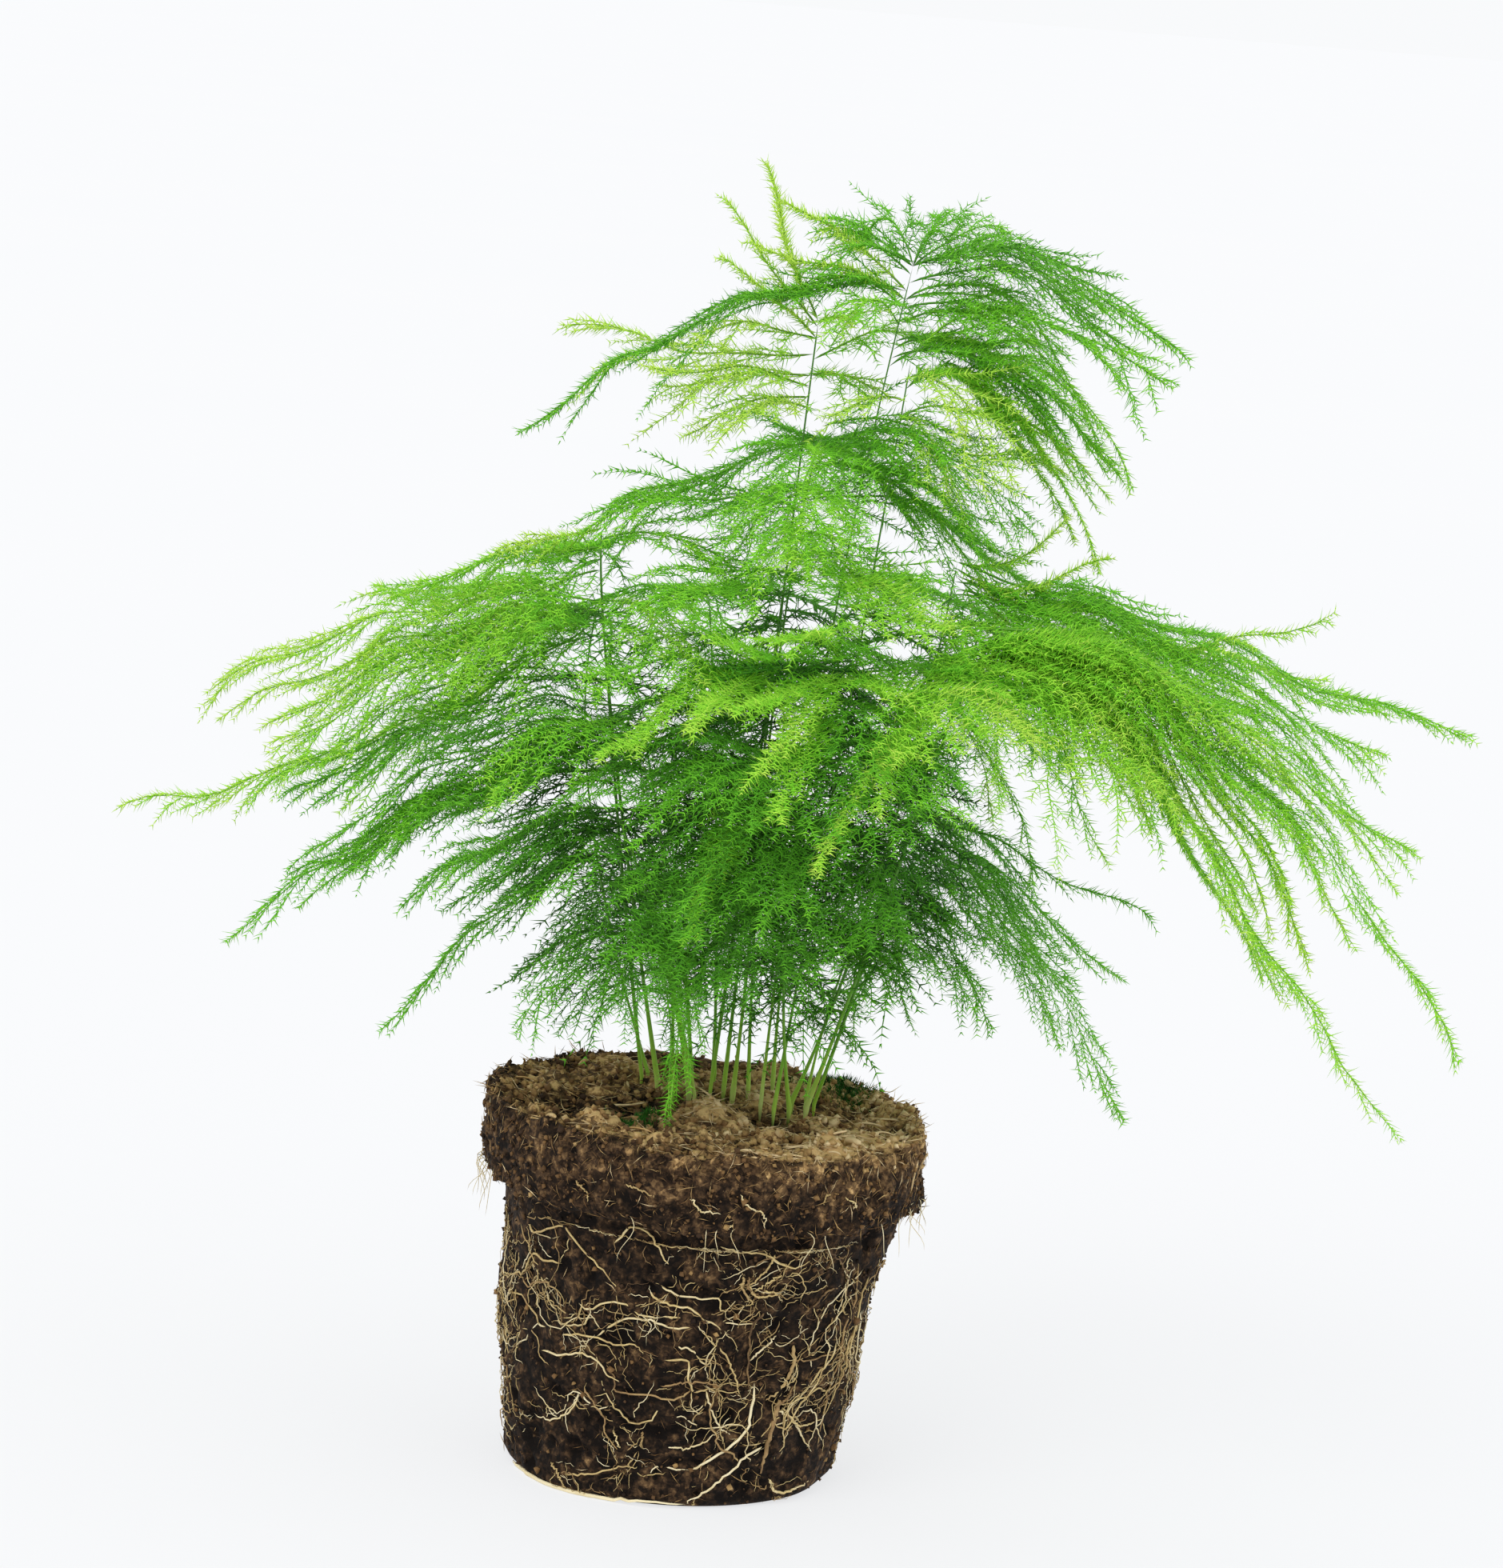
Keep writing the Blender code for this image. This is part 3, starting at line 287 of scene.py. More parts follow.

# Each shoot: the foot's place, a point halfway up the stem, the stem's top, its fronds, and the sprays that
# fill the bush, which the solids leave out. A frond or spray is its share of the way up the stem, its tip's
# x, y and z, its rise over the straight line, half width, roll in degrees with the near side low, and tone
# from 0 dark green to 1 lime. All are measured on the plant, in millimetres.
# Low tones on the fronds low in the bush's middle are their own dark green and partly painted shade.
SHOOTS = {
    "shoot_01": {"foot": (14, 4), "waist": (21, -12, 210), "top": (36, 5, 318), "fronds": (
        (1.0, 108, -5, 298, 26, 20, 16, 0.3), (1.0, 13, 15, 327, 4, 13, 0, 0.38),
        (0.95, 103, -30, 294, 16, 20, 14, 0.4), (0.89, 95, 12, 270, 22, 26, 18, 0.45),
        (0.97, -61, -12, 269, 26, 22, -8, 0.25),
    ), "sprays": (
        (1.0, 89, 22, 310, 17, 20, 12, 0.35), (1.0, 61, 26, 328, 8, 15, 8, 0.4),
        (0.99, 11, 22, 324, 6, 13, 0, 0.45), (0.96, 78, -12, 300, 13, 17, 12, 0.4),
        (0.93, 18, -32, 306, 8, 14, 8, 0.5), (0.88, 85, -14, 281, 24, 16, 12, 0.45),
        (1.0, 44, 34, 331, 5, 16, 0, 0.4), (0.93, 96, -8, 267, 34, 12, 14, 0.5),
        (0.9, 90, 14, 257, 34, 12, 14, 0.7), (0.95, -10, -12, 303, 18, 14, -4, 0.4),
        (0.96, 1, 12, 307, 12, 14, 0, 0.45), (0.97, 1, 8, 332, 4, 6, 10, 0.9),
        (0.96, -3, 0, 322, 4, 7, 10, 0.85), (0.96, 89, 5, 275, 34, 9, 10, 0.45),
        (0.91, 78, -5, 276, 18, 18, 14, 0.3), (0.98, 98, -2, 300, 20, 16, 12, 0.3),
        (1.0, 12, -6, 319, 7, 13, 0, 0.38), (1.0, 62, -8, 317, 9, 13, 6, 0.38),
        (1.0, 48, 20, 317, 22, 13, 0, 0.38), (1.0, 20, 18, 318, 22, 13, 0, 0.4),
    )},
    "shoot_02": {"foot": (4, 20), "waist": (9, 2, 220), "top": (13, 5, 302), "fronds": (
        (1.0, -5, 0, 341, 4, 9, 30, 1.0), (0.99, -13, 6, 330, 3, 6, 20, 1.0),
        (0.97, -12, -4, 317, 4, 7, 20, 1.0), (0.94, -53, 28, 295, -5, 20, 20, 0.9),
        (0.88, -28, -30, 290, 2, 15, 10, 0.85), (0.84, -9, -38, 276, 6, 12, 10, 0.85),
        (0.93, 49, 30, 301, 7, 16, 10, 0.7),
    ), "sprays": (
        (0.97, -20, -20, 297, 4, 12, 8, 0.8), (1.0, 22, -18, 303, 4, 12, 8, 0.7),
        (0.9, -28, 12, 283, 2, 12, 10, 0.88), (0.86, -19, -16, 273, 4, 12, 10, 0.85),
        (0.9, 30, 26, 283, 5, 13, 8, 0.75),
    )},
    "shoot_03": {"foot": (17.5, -1), "waist": (29, -14, 213), "top": (37, -12, 295), "fronds": (
        (0.97, 62, -38, 268, 16, 18, 22, 0.9), (0.93, 16, -32, 281, 5, 12, 10, 0.85),
        (1.0, 60, 22, 306, 12, 18, 15, 0.55), (0.8, 83, 22, 265, 16, 16, 20, 0.7),
    ), "sprays": (
        (0.9, 50, -30, 262, 10, 14, 8, 0.75), (0.9, 92, 8, 263, 22, 12, 14, 0.7),
        (0.95, 82, 10, 247, 40, 9, 10, 0.66), (0.95, 90, 4, 241, 42, 9, 10, 0.62),
    )},
    "shoot_04": {"foot": (10.5, 20), "waist": (9, -2, 199), "top": (16, -3, 276), "fronds": (
        (1.0, 69, -12, 253, 22, 28, 20, 0.35), (0.98, -37, 0, 251, 0, 26, 12, 0.4),
        (0.96, 10, -78, 249, 16, 30, 0, 0.5), (0.96, 25, 78, 253, 16, 28, 0, 0.4),
        (0.84, -40, -32, 250, 12, 24, 15, 0.4), (0.86, 78, 32, 233, 22, 28, 15, 0.35),
        (0.76, 47, -74, 234, 12, 24, 5, 0.6), (0.72, -21, -64, 232, 12, 22, 5, 0.45),
    ), "sprays": (
        (0.9, 8, -66, 247, 8, 26, 0, 0.45), (0.8, 37, -58, 237, 10, 24, 5, 0.5),
        (0.97, 60, -30, 252, 20, 20, 14, 0.4), (0.92, 53, -5, 254, 14, 20, 14, 0.35),
        (0.88, -6, -30, 243, 10, 22, 10, 0.35), (0.96, 46, 2, 246, 16, 16, 8, 0.42),
        (0.93, 63, 6, 236, 20, 16, 10, 0.45),
    )},
    "shoot_05": {"foot": (-13.5, 18), "waist": (-32, -8, 197), "top": (-38, -8, 246), "fronds": (
        (1.0, -64, -5, 237, 2, 9, 15, 0.85), (0.93, -85, 26, 227, 2, 22, 15, 0.65),
        (0.96, -5, -28, 242, 8, 20, 15, 0.55), (0.9, -52, 62, 233, 5, 18, 0, 0.45),
        (0.84, -73, -42, 209, 12, 22, 15, 0.6), (0.76, -8, -62, 215, 10, 18, 10, 0.65),
    ), "sprays": (
        (0.7, -32, -48, 210, 12, 22, 8, 0.35), (0.88, -58, -20, 217, 10, 20, 12, 0.5),
    )},
    "shoot_06": {"foot": (-16.5, 30), "waist": (-37, 16, 172), "top": (-38, 12, 225), "fronds": (
        (1.0, -140, 18, 193, 18, 28, 20, 0.76), (0.94, -161, 4, 161, -17, 16, 15, 0.78),
        (0.97, -118, -32, 183, 15, 22, 18, 0.68), (0.96, -101, 72, 216, 8, 22, 0, 0.55),
    ), "sprays": (
        (0.98, -136, 2, 187, 12, 16, 12, 0.76), (0.95, -119, -20, 190, 16, 20, 14, 0.72),
        (0.9, -97, -32, 174, 14, 18, 12, 0.6), (0.96, -124, -30, 170, 10, 16, 14, 0.6),
        (0.93, -103, -10, 200, 10, 18, 14, 0.6),
    )},
    "shoot_07": {"foot": (-9.5, 7), "waist": (-14, -18, 152), "top": (-25, -22, 203), "fronds": (
        (1.0, -115, -22, 171, 18, 28, 20, 0.27), (0.92, -124, -42, 139, 22, 22, 18, 0.38),
        (0.85, -104, 4, 151, 12, 18, 15, 0.25), (0.97, -57, -78, 188, 12, 20, 10, 0.5),
    ), "sprays": (
        (0.45, -39, -50, 135, 10, 16, 0, 0.2), (0.9, -107, -36, 155, 14, 18, 14, 0.4),
        (0.95, -111, -36, 155, 26, 16, 14, 0.35), (0.93, -108, -40, 145, 28, 14, 14, 0.35),
        (0.88, -96, -30, 157, 18, 18, 14, 0.25),
    )},
    "shoot_08": {"foot": (-5, 9.5), "waist": (-15, -22, 142), "top": (-29, -32, 178), "fronds": (
        (0.95, -83, -36, 119, 9, 16, 15, 0.36), (0.8, -50, -48, 120, 8, 14, 15, 0.34),
        (1.0, -76, -58, 157, 10, 20, 15, 0.3), (0.7, -6, -50, 117, 16, 9, 0, 0.34),
    ), "sprays": (
        (0.62, -26, -62, 130, 10, 16, 0, 0.25), (0.85, -42, -60, 160, 12, 20, 8, 0.3),
        (0.55, -8, -38, 99, 10, 6, 0, 0.25), (0.95, -80, -45, 151, 14, 16, 10, 0.3),
        (0.9, -69, -40, 148, 14, 16, 10, 0.25), (0.55, -27, -45, 129, 12, 14, 0, 0.25),
        (0.5, -38, -40, 121, 12, 14, 0, 0.2), (0.62, -2, -50, 122, 16, 9, 0, 0.4),
        (0.6, -5, -48, 114, 16, 7, 0, 0.45), (0.58, -7, -44, 104, 14, 8, 0, 0.45),
    )},
    "shoot_09": {"foot": (-5, 30), "waist": (-11, 26, 138), "top": (-21, 32, 168), "fronds": (
        (1.0, -75, 48, 145, 10, 22, 0, 0.2), (0.9, -44, 78, 119, 10, 20, 0, 0.25),
        (1.0, -3, 92, 133, 10, 20, 0, 0.25),
    ), "sprays": (
        (0.7, -43, 50, 121, 12, 22, 0, 0.15), (0.76, -22, 66, 123, 12, 22, 0, 0.15),
    )},
    "shoot_10": {"foot": (22, 8), "waist": (40, -18, 167), "top": (53, -12, 245), "fronds": (
        (1.0, 189, -5, 210, 2, 26, 18, 0.45), (0.96, 166, -22, 204, 11, 28, 20, 0.5),
        (0.98, 150, -12, 240, -30, 12, 20, 0.75), (0.92, 97, -80, 198, 14, 30, 10, 0.65),
        (0.98, 154, 26, 217, -3, 18, 10, 0.7), (0.84, 88, 42, 186, 12, 24, 10, 0.35),
    ), "sprays": (
        (0.8, 32, -70, 218, 14, 24, 0, 0.45), (1.0, 81, -8, 257, -8, 5, 0, 0.75),
        (0.99, 93, -14, 251, -12, 5, 0, 0.8), (0.84, 69, 20, 173, 20, 10, 5, 0.75),
        (0.8, 82, 10, 158, 16, 8, 5, 0.5), (0.95, 161, -30, 191, 24, 20, 14, 0.5),
        (0.97, 137, -20, 216, 10, 20, 14, 0.45), (0.9, 81, -60, 213, 14, 24, 10, 0.6),
    )},
    "shoot_11": {"foot": (26, 4), "waist": (44, -33, 170), "top": (59, -38, 231), "fronds": (
        (1.0, 173, -42, 183, 18, 30, 22, 0.5), (0.97, 187, -66, 136, 50, 24, 20, 0.5),
        (0.95, 170, -86, 116, 44, 16, 10, 0.62), (0.98, 95, -62, 179, 20, 12, 10, 0.55),
        (0.93, 110, -84, 189, 20, 14, 10, 0.65), (0.97, 128, -50, 163, 30, 18, 10, 0.58),
        (0.95, 22, -95, 178, 12, 7, 0, 0.7),
    ), "sprays": (
        (0.45, 19, -78, 145, 10, 16, 0, 0.25), (0.6, 32, -75, 154, 12, 20, 0, 0.2),
        (0.85, 45, -90, 208, 12, 24, 5, 0.6), (0.97, 34, -94, 190, 12, 8, 0, 0.62),
        (0.78, 8, -90, 158, 16, 10, 0, 0.26), (0.75, 34, -85, 182, 14, 24, 0, 0.26),
        (1.0, 169, -56, 177, 34, 16, 14, 0.6), (0.98, 158, -64, 160, 44, 16, 14, 0.65),
        (0.93, 134, -55, 168, 40, 14, 10, 0.7), (0.96, 143, -60, 146, 44, 11, 10, 0.66),
        (0.94, 136, -48, 150, 40, 9, 10, 0.6), (0.96, 149, -50, 177, 42, 16, 12, 0.6),
        (0.95, 139, -62, 164, 46, 12, 10, 0.7), (0.9, 107, -70, 201, 24, 16, 10, 0.68),
        (0.95, 149, -60, 157, 48, 9, 10, 0.66), (0.96, 141, -62, 171, 48, 9, 10, 0.62),
        (0.94, 154, -58, 182, 44, 12, 10, 0.6), (0.96, 107, -56, 186, 30, 8, 10, 0.66),
        (0.92, 68, -76, 192, 20, 8, 8, 0.62),
    )},
    "shoot_12": {"foot": (26, 16), "waist": (34, 10, 138), "top": (49, 4, 180), "fronds": (
        (1.0, 109, -6, 103, 7, 20, 22, 0.42), (0.96, 111, -18, 157, 3, 7, 15, 0.36),
        (0.92, 109, 26, 132, 8, 15, 10, 0.4), (0.88, 98, 62, 123, 10, 20, 0, 0.36),
        (0.62, 35, -22, 116, 14, 5, 0, 0.32), (0.72, 53, 2, 118, 12, 5, 0, 0.32),
    ), "sprays": (
        (0.58, 46, -30, 138, 10, 16, 5, 0.34), (0.7, 64, -18, 131, 12, 18, 10, 0.38),
        (0.75, 51, 44, 137, 12, 22, 0, 0.32), (0.85, 90, -14, 121, 16, 16, 12, 0.4),
        (0.8, 71, -10, 122, 14, 14, 12, 0.38), (0.5, 37, -35, 134, 12, 14, 0, 0.34),
    )},
    "shoot_13": {"foot": (6.5, 12.5), "waist": (8, -14, 159), "top": (7, -32, 221), "fronds": (
        (1.0, -33, -76, 198, 6, 8, 8, 0.65), (0.96, -11, -96, 207, 7, 8, 0, 0.68),
        (0.7, -6, -80, 158, 14, 9, 0, 0.58), (0.75, -22, -68, 163, 12, 22, 10, 0.25),
        (0.86, -42, -50, 180, 12, 22, 12, 0.35), (0.92, -40, -72, 216, 10, 14, 10, 0.5),
    ), "sprays": (
        (0.5, -21, -80, 149, 12, 20, 0, 0.22), (0.62, -7, -92, 159, 12, 22, 0, 0.22),
        (0.9, -4, -74, 228, 10, 22, 0, 0.5), (0.98, -26, -84, 203, 6, 8, 0, 0.62),
        (0.85, -22, -84, 178, 10, 9, 0, 0.35), (0.62, -28, -74, 146, 12, 10, 0, 0.25),
        (0.7, -22, -70, 187, 14, 24, 8, 0.22), (0.42, -9, -50, 130, 12, 16, 0, 0.22),
    )},
    "shoot_14": {"foot": (21.5, 1.5), "waist": (16, -34, 160), "top": (25, -45, 219), "fronds": (
        (1.0, 6, -98, 200, 6, 8, 0, 0.68), (0.94, 52, -92, 192, 10, 24, 0, 0.38),
        (0.84, 19, -88, 189, 12, 26, 0, 0.27), (0.66, 44, -62, 155, 10, 20, 10, 0.2),
        (0.6, 12, -76, 153, 12, 20, 0, 0.2), (0.98, 72, -90, 210, 12, 22, 10, 0.75),
    ), "sprays": (
        (0.5, -10, -75, 136, 14, 16, 0, 0.25), (0.55, 2, -80, 143, 12, 18, 0, 0.18),
        (0.68, 13, -92, 164, 12, 22, 0, 0.24), (0.99, 16, -86, 232, 10, 22, 0, 0.6),
        (0.97, -2, -96, 212, 6, 9, 0, 0.62), (0.92, 12, -98, 192, 8, 9, 0, 0.6),
        (0.72, -8, -90, 166, 12, 12, 0, 0.24), (0.6, -18, -84, 140, 14, 12, 0, 0.2),
        (0.8, -1, -90, 190, 14, 26, 0, 0.3), (0.42, 8, -50, 133, 12, 16, 0, 0.22),
        (0.4, 24, -45, 134, 12, 16, 0, 0.2),
    )},
    "shoot_15": {"foot": (1, 36), "waist": (-3, 28, 162), "top": (-10, 36, 226), "fronds": (
        (1.0, -63, 82, 203, 12, 26, 0, 0.4), (0.98, -15, 115, 210, 14, 26, 0, 0.45),
        (0.78, -65, 74, 168, 12, 24, 0, 0.25), (0.72, -3, 108, 156, 12, 24, 0, 0.25),
    ), "sprays": (
        (0.46, 0, 60, 123, 12, 22, 0, 0.15),
    )},
    "shoot_16": {"foot": (17, 34), "waist": (19, 38, 162), "top": (27, 44, 223), "fronds": (
        (1.0, 89, 86, 214, 16, 28, 0, 0.4), (0.98, 41, 118, 222, 14, 26, 0, 0.45),
        (0.86, 108, 62, 192, 16, 28, 0, 0.3), (0.72, 64, 104, 164, 12, 24, 0, 0.25),
        (0.62, 83, 56, 151, 12, 22, 0, 0.2),
    ), "sprays": (
        (0.46, 24, 70, 124, 12, 24, 0, 0.15),
    )},
}

# Thin sister stems: the shoot that each joins partway up, and how far apart their feet stand.
SISTER_STEMS = {
    "shoot_02": (-3.5, -3.0), "shoot_05": (-4.5, 6.0), "shoot_08": (1.5, -3.0), "shoot_11": (2.0, 4.0)}
SISTER_REACH = 0.62
SISTER_RADII = (0.55 * MM, 0.28 * MM)

# Roots seen on the front of the ball: radius, then points as (degrees round from +X, height).
FRONT_ROOTS = (
    (0.38, ((-147, 67), (-141, 66), (-131, 70), (-126, 67), (-120, 63), (-113, 59), (-109, 55))),
    (0.4, ((-113, 69), (-108, 74), (-104, 74), (-100, 71), (-97, 67), (-93, 62))),
    (0.38, ((-83, 72), (-78, 71), (-73, 71), (-68, 70), (-64, 68), (-59, 67), (-55, 69))),
    (0.34, ((-66, 70), (-68, 67), (-71, 64), (-74, 60))), (0.45, ((-75, 64), (-75, 61), (-71, 57))),
    (0.42, ((-73, 62), (-70, 59), (-62, 59))), (0.36, ((-73, 64), (-73, 61), (-68, 58))),
    (0.34, ((-69, 60), (-65, 60), (-61, 57))), (0.34, ((-71, 60), (-65, 64), (-62, 65))),
    (0.32, ((-50, 71), (-42, 67), (-36, 62), (-29, 57))),
    (0.42, ((-30, 64), (-29, 54), (-33, 47), (-31, 37), (-31, 27), (-31, 17), (-31, 13))),
    (0.38, ((-22, 60), (-26, 51), (-27, 41), (-27, 31), (-31, 20))),
    (0.34, ((-39, 59), (-46, 59), (-49, 56), (-53, 54), (-61, 53))),
    (0.36, ((-124, 51), (-120, 50), (-115, 53), (-109, 54), (-103, 52), (-97, 52),
     (-90, 53), (-86, 54), (-81, 52))),
    (0.34, ((-98, 60), (-93, 58), (-87, 58), (-81, 58), (-80, 55), (-77, 56))),
    (0.4, ((-101, 58), (-99, 56), (-94, 55), (-89, 55), (-83, 52), (-79, 50), (-77, 46))),
    (0.42, ((-117, 43), (-112, 47), (-106, 50), (-101, 50), (-95, 49), (-90, 49),
     (-83, 51), (-74, 51), (-65, 51))),
    (0.36, ((-130, 41), (-123, 43), (-116, 43), (-110, 42), (-104, 43), (-101, 41))),
    (0.38, ((-140, 35), (-130, 36), (-123, 38), (-116, 37), (-112, 34), (-108, 33))),
    (0.34, ((-91, 44), (-86, 43), (-82, 40), (-79, 46))),
    (0.34, ((-79, 45), (-74, 40), (-71, 35), (-69, 31))),
    (0.4, ((-95, 40), (-88, 41), (-87, 36), (-85, 33), (-81, 34), (-76, 33), (-69, 33))),
    (0.32, ((-95, 33), (-88, 35), (-81, 35), (-76, 34))),
    (0.34, ((-85, 33), (-90, 30), (-100, 30), (-109, 29), (-110, 33), (-113, 36))),
    (0.36, ((-81, 33), (-78, 28), (-74, 23), (-70, 21))), (0.34, ((-68, 41), (-64, 45), (-59, 49))),
    (0.62, ((-54, 45), (-53, 40), (-55, 34), (-61, 30))),
    (0.85, ((-55, 30), (-56, 24), (-56, 15), (-56, 8))), (0.42, ((-55, 28), (-52, 31), (-50, 33))),
    (0.42, ((-55, 27), (-46, 22), (-34, 12))), (0.38, ((-54, 28), (-43, 21), (-32, 22))),
    (0.46, ((-65, 35), (-65, 27), (-66, 22), (-71, 17), (-79, 12), (-86, 10), (-94, 10), (-96, 4))),
    (0.42, ((-58, 17), (-64, 14), (-72, 8), (-78, 4), (-82, 2))),
    (0.7, ((-160, 1), (-142, 1), (-123, 1), (-111, 1), (-98, 2), (-81, 2))),
    (0.5, ((-52, 7), (-47, 3), (-31, 4))), (0.36, ((-131, 7), (-127, 4), (-124, 1))),
    (0.34, ((-125, 5), (-114, 7), (-105, 10), (-99, 10))),
    (0.36, ((-123, 27), (-125, 22), (-132, 18), (-142, 17))),
    (0.34, ((-121, 29), (-117, 25), (-113, 21), (-112, 17), (-104, 12))),
    (0.32, ((-109, 19), (-107, 15), (-104, 12))), (0.32, ((-99, 20), (-99, 17), (-99, 15))),
    (0.34, ((-90, 16), (-82, 17), (-74, 22))), (0.3, ((-123, 84), (-120, 82), (-119, 79))),
    (0.32, ((-109, 86), (-105, 85), (-101, 84))), (0.32, ((-92, 85), (-89, 82), (-84, 82))),
    (0.28, ((-84, 88), (-83, 87), (-83, 86))), (0.32, ((-80, 87), (-77, 84), (-73, 82), (-72, 78))),
    (0.28, ((-81, 79), (-82, 78), (-83, 77))), (0.3, ((-54, 87), (-55, 86), (-55, 84))),
    (0.28, ((-49, 86), (-46, 84), (-47, 83))),
)
ROOT_POINTS = 26
ROOT_SIDES = 5
SEEN_ROOT_SHARE = 0.80
# Wandering roots all round and behind: how many, and the angles, heights and radii they start with.
ALL_ROUND_ROOTS = (60, 0, 360)
REAR_ROOTS = (36, 0, 180)
WANDERING_HEIGHTS = (6, 68)
WANDERING_STEP = 1.3
WANDERING_RADII = (0.15, 0.34)
# Roots that run down the ball's left and right edges: the angles they start between and how many.
LEFT_ROOTS = (-174, -146, 8)
RIGHT_ROOTS = (-36, -8, 14)
FALLING_HEIGHTS = (40, 70)
FALLING_STEP = 1.5
FALLING_RADII = (0.13, 0.28)
# Two rounds of rootlets, the second on the first too: how many, points, step and radii. Fewer are behind.
ROOTLETS = ((440, 12, 1.0, (0.09, 0.20)), (420, 8, 0.8, (0.08, 0.14)))
ROOTLET_SLANTS = (0.6, 1.2)
REAR_ROOTLET_SHARE = 0.2
# A root's radius along its length, as shares of the full one, how far it bows off the soil, the gap and the
# share of its radius that its middle line stands off it, and how much it turns, drifts and zigzags.
ROOT_TAPER = ((0, 0.08, 0.7, 1), (0.5, 1, 0.85, 0.3))
ROOT_BOWS = (-0.5, 0.8)
ROOT_GAP = 0.2 * MM
ROOT_STAND = 0.4
ROOT_KINK = 0.30
ROOT_DRIFT = 0.07 * MM
ROOT_ZIGZAG = 0.17 * MM
HIGHEST_ROOT = 71.0
MEAN_RADIUS = 48.0
# Hair roots that hang from the band's foot: the angles they start between and how many, most at its ends.
HANGING_ROOTS = ((172, 194, 9), (-22, -2, 7), (0, 360, 22))
HANGING_LENGTHS = (4, 13)
HANGING_RADII = (0.15 * MM, 0.07 * MM)
HANGING_POINTS = 9


def unit(vectors):
    """Each vector divided by its length."""
    return vectors / np.maximum(np.linalg.norm(vectors, axis=-1, keepdims=True), 1e-12)


def curve_at(axes, share):
    """Points of quadratic curves a, b, c: (1-t)^2 a + 2t(1-t) b + t^2 c."""
    t = share[..., None]
    a, b, c = axes[:, None, 0], axes[:, None, 1], axes[:, None, 2]
    return (1 - t) ** 2 * a + 2 * t * (1 - t) * b + t ** 2 * c


def slope_at(axes, share):
    """Unit directions of the same curves: (1-t)(b-a) + t(c-b)."""
    t = share[..., None]
    a, b, c = axes[:, None, 0], axes[:, None, 1], axes[:, None, 2]
    return unit((1 - t) * (b - a) + t * (c - b))


def places_on(axes, bearer, share):
    """A point on each bearer's curve, and the direction there."""
    return curve_at(axes[bearer], share[:, None])[:, 0], slope_at(axes[bearer], share[:, None])[:, 0]


def points_on(axis, share):
    """Points of one curve."""
    return curve_at(axis[None], np.asarray(share)[None])[0]


def curve_length(axis):
    """Length of one curve, by its chords."""
    points = points_on(axis, np.linspace(0, 1, 20))
    return np.linalg.norm(np.diff(points, axis=0), axis=1).sum()


def curve_lengths(axes):
    """Rough lengths of many curves: the mean of the chord and the two control legs."""
    legs = np.linalg.norm(np.diff(axes, axis=1), axis=-1).sum(1)
    return (legs + np.linalg.norm(axes[:, 2] - axes[:, 0], axis=-1)) / 2


def numbered(count):
    """Things borne, from how many each bearer has: the bearer's number and the thing's order on it."""
    bearer = np.repeat(np.arange(len(count)), count)
    return bearer, np.arange(len(bearer)) - np.repeat(np.cumsum(count) - count, count)


def nearest_gaps(start, end, other_start, other_end):
    """Shortest vectors between two sets of straight pieces, and the share along the first ones."""
    u = (end - start)[:, None]
    v = (other_end - other_start)[None]
    w = start[:, None] - other_start[None]
    uu, uv, vv = (u * u).sum(-1), (u * v).sum(-1), (v * v).sum(-1)
    uw, vw = (u * w).sum(-1), (v * w).sum(-1)
    spread = uu * vv - uv * uv
    s = np.where(spread > 1e-18, np.clip((uv * vw - vv * uw) / np.maximum(spread, 1e-18), 0, 1), 0)
    t = np.clip((uv * s + vw) / vv, 0, 1)
    s = np.clip((uv * t - uw) / uu, 0, 1)
    return w + s[..., None] * u - t[..., None] * v, s


class Room:
    """The straight pieces laid so far, with the shoot that owns each."""

    def __init__(self):
        self.start, self.end, self.owner = [], [], []

    def add(self, points, owner):
        self.start.append(points[:-1])
        self.end.append(points[1:])
        self.owner.append(np.full(len(points) - 1, owner))

    def tightest(self, points, owner):
        """Smallest gap from a new branch to other shoots, where it is, and its direction."""
        keep = np.concatenate(self.owner) != owner if self.owner else np.zeros(0, bool)
        if not keep.any():
            return 1.0, 0.0, -DOWN
        others = np.concatenate(self.start)[keep], np.concatenate(self.end)[keep]
        gaps, s = nearest_gaps(points[:-1], points[1:], *others)
        size = np.linalg.norm(gaps, axis=-1)
        i, j = np.unravel_index(size.argmin(), size.shape)
        return size[i, j], i + s[i, j], gaps[i, j] / max(size[i, j], 1e-9)


def bend_clear(room, axis, ring_rule, owner):
    """Bend a curve away from other shoots until its straight pieces have room, and enter it there."""
    for _ in range(BENDS):
        shares = ring_rule(axis)
        points = points_on(axis, shares)
        gap, place, away = room.tightest(points, owner)
        if gap >= FROND_ROOM:
            break
        t = np.interp(place, np.arange(len(shares)), shares)
        step = away * (FROND_ROOM * EXTRA_ROOM - gap) * BEND_SHARE
        axis = axis.copy()
        axis[1] += step / max(2 * t * (1 - t), LEAST_PULL)
        axis[2] += step * t * t
    room.add(points_on(axis, shares), owner)
    return axis


def stem_rings(_):
    """Every stem's solid has the same few rings."""
    return STEM_SHARES


def frond_rings(axis):
    """The rings of a frond's solid: around each whorl, with more where a piece would be long."""
    length = curve_length(axis)
    start = FROND_FIRST_WHORL * length
    count = max(1, round((length - start) / WHORL_PITCH))
    places = start + (length - start - WHORL_MARGIN) * (np.arange(count) + 0.5) / count
    places[-1] = max(places[-1], length - LAST_WHORL)
    half = NEEDLE_FOOT / 2 / length
    shares = [0.0]
    for whorl in places / length:
        gap = whorl - half - shares[-1]
        extra = int(gap * length / LONGEST_PIECE)
        shares += [shares[-1] + gap * (k + 1) / (extra + 1) for k in range(extra)]
        shares += [whorl - half, whorl + half]
    return np.array(shares + [1.0])


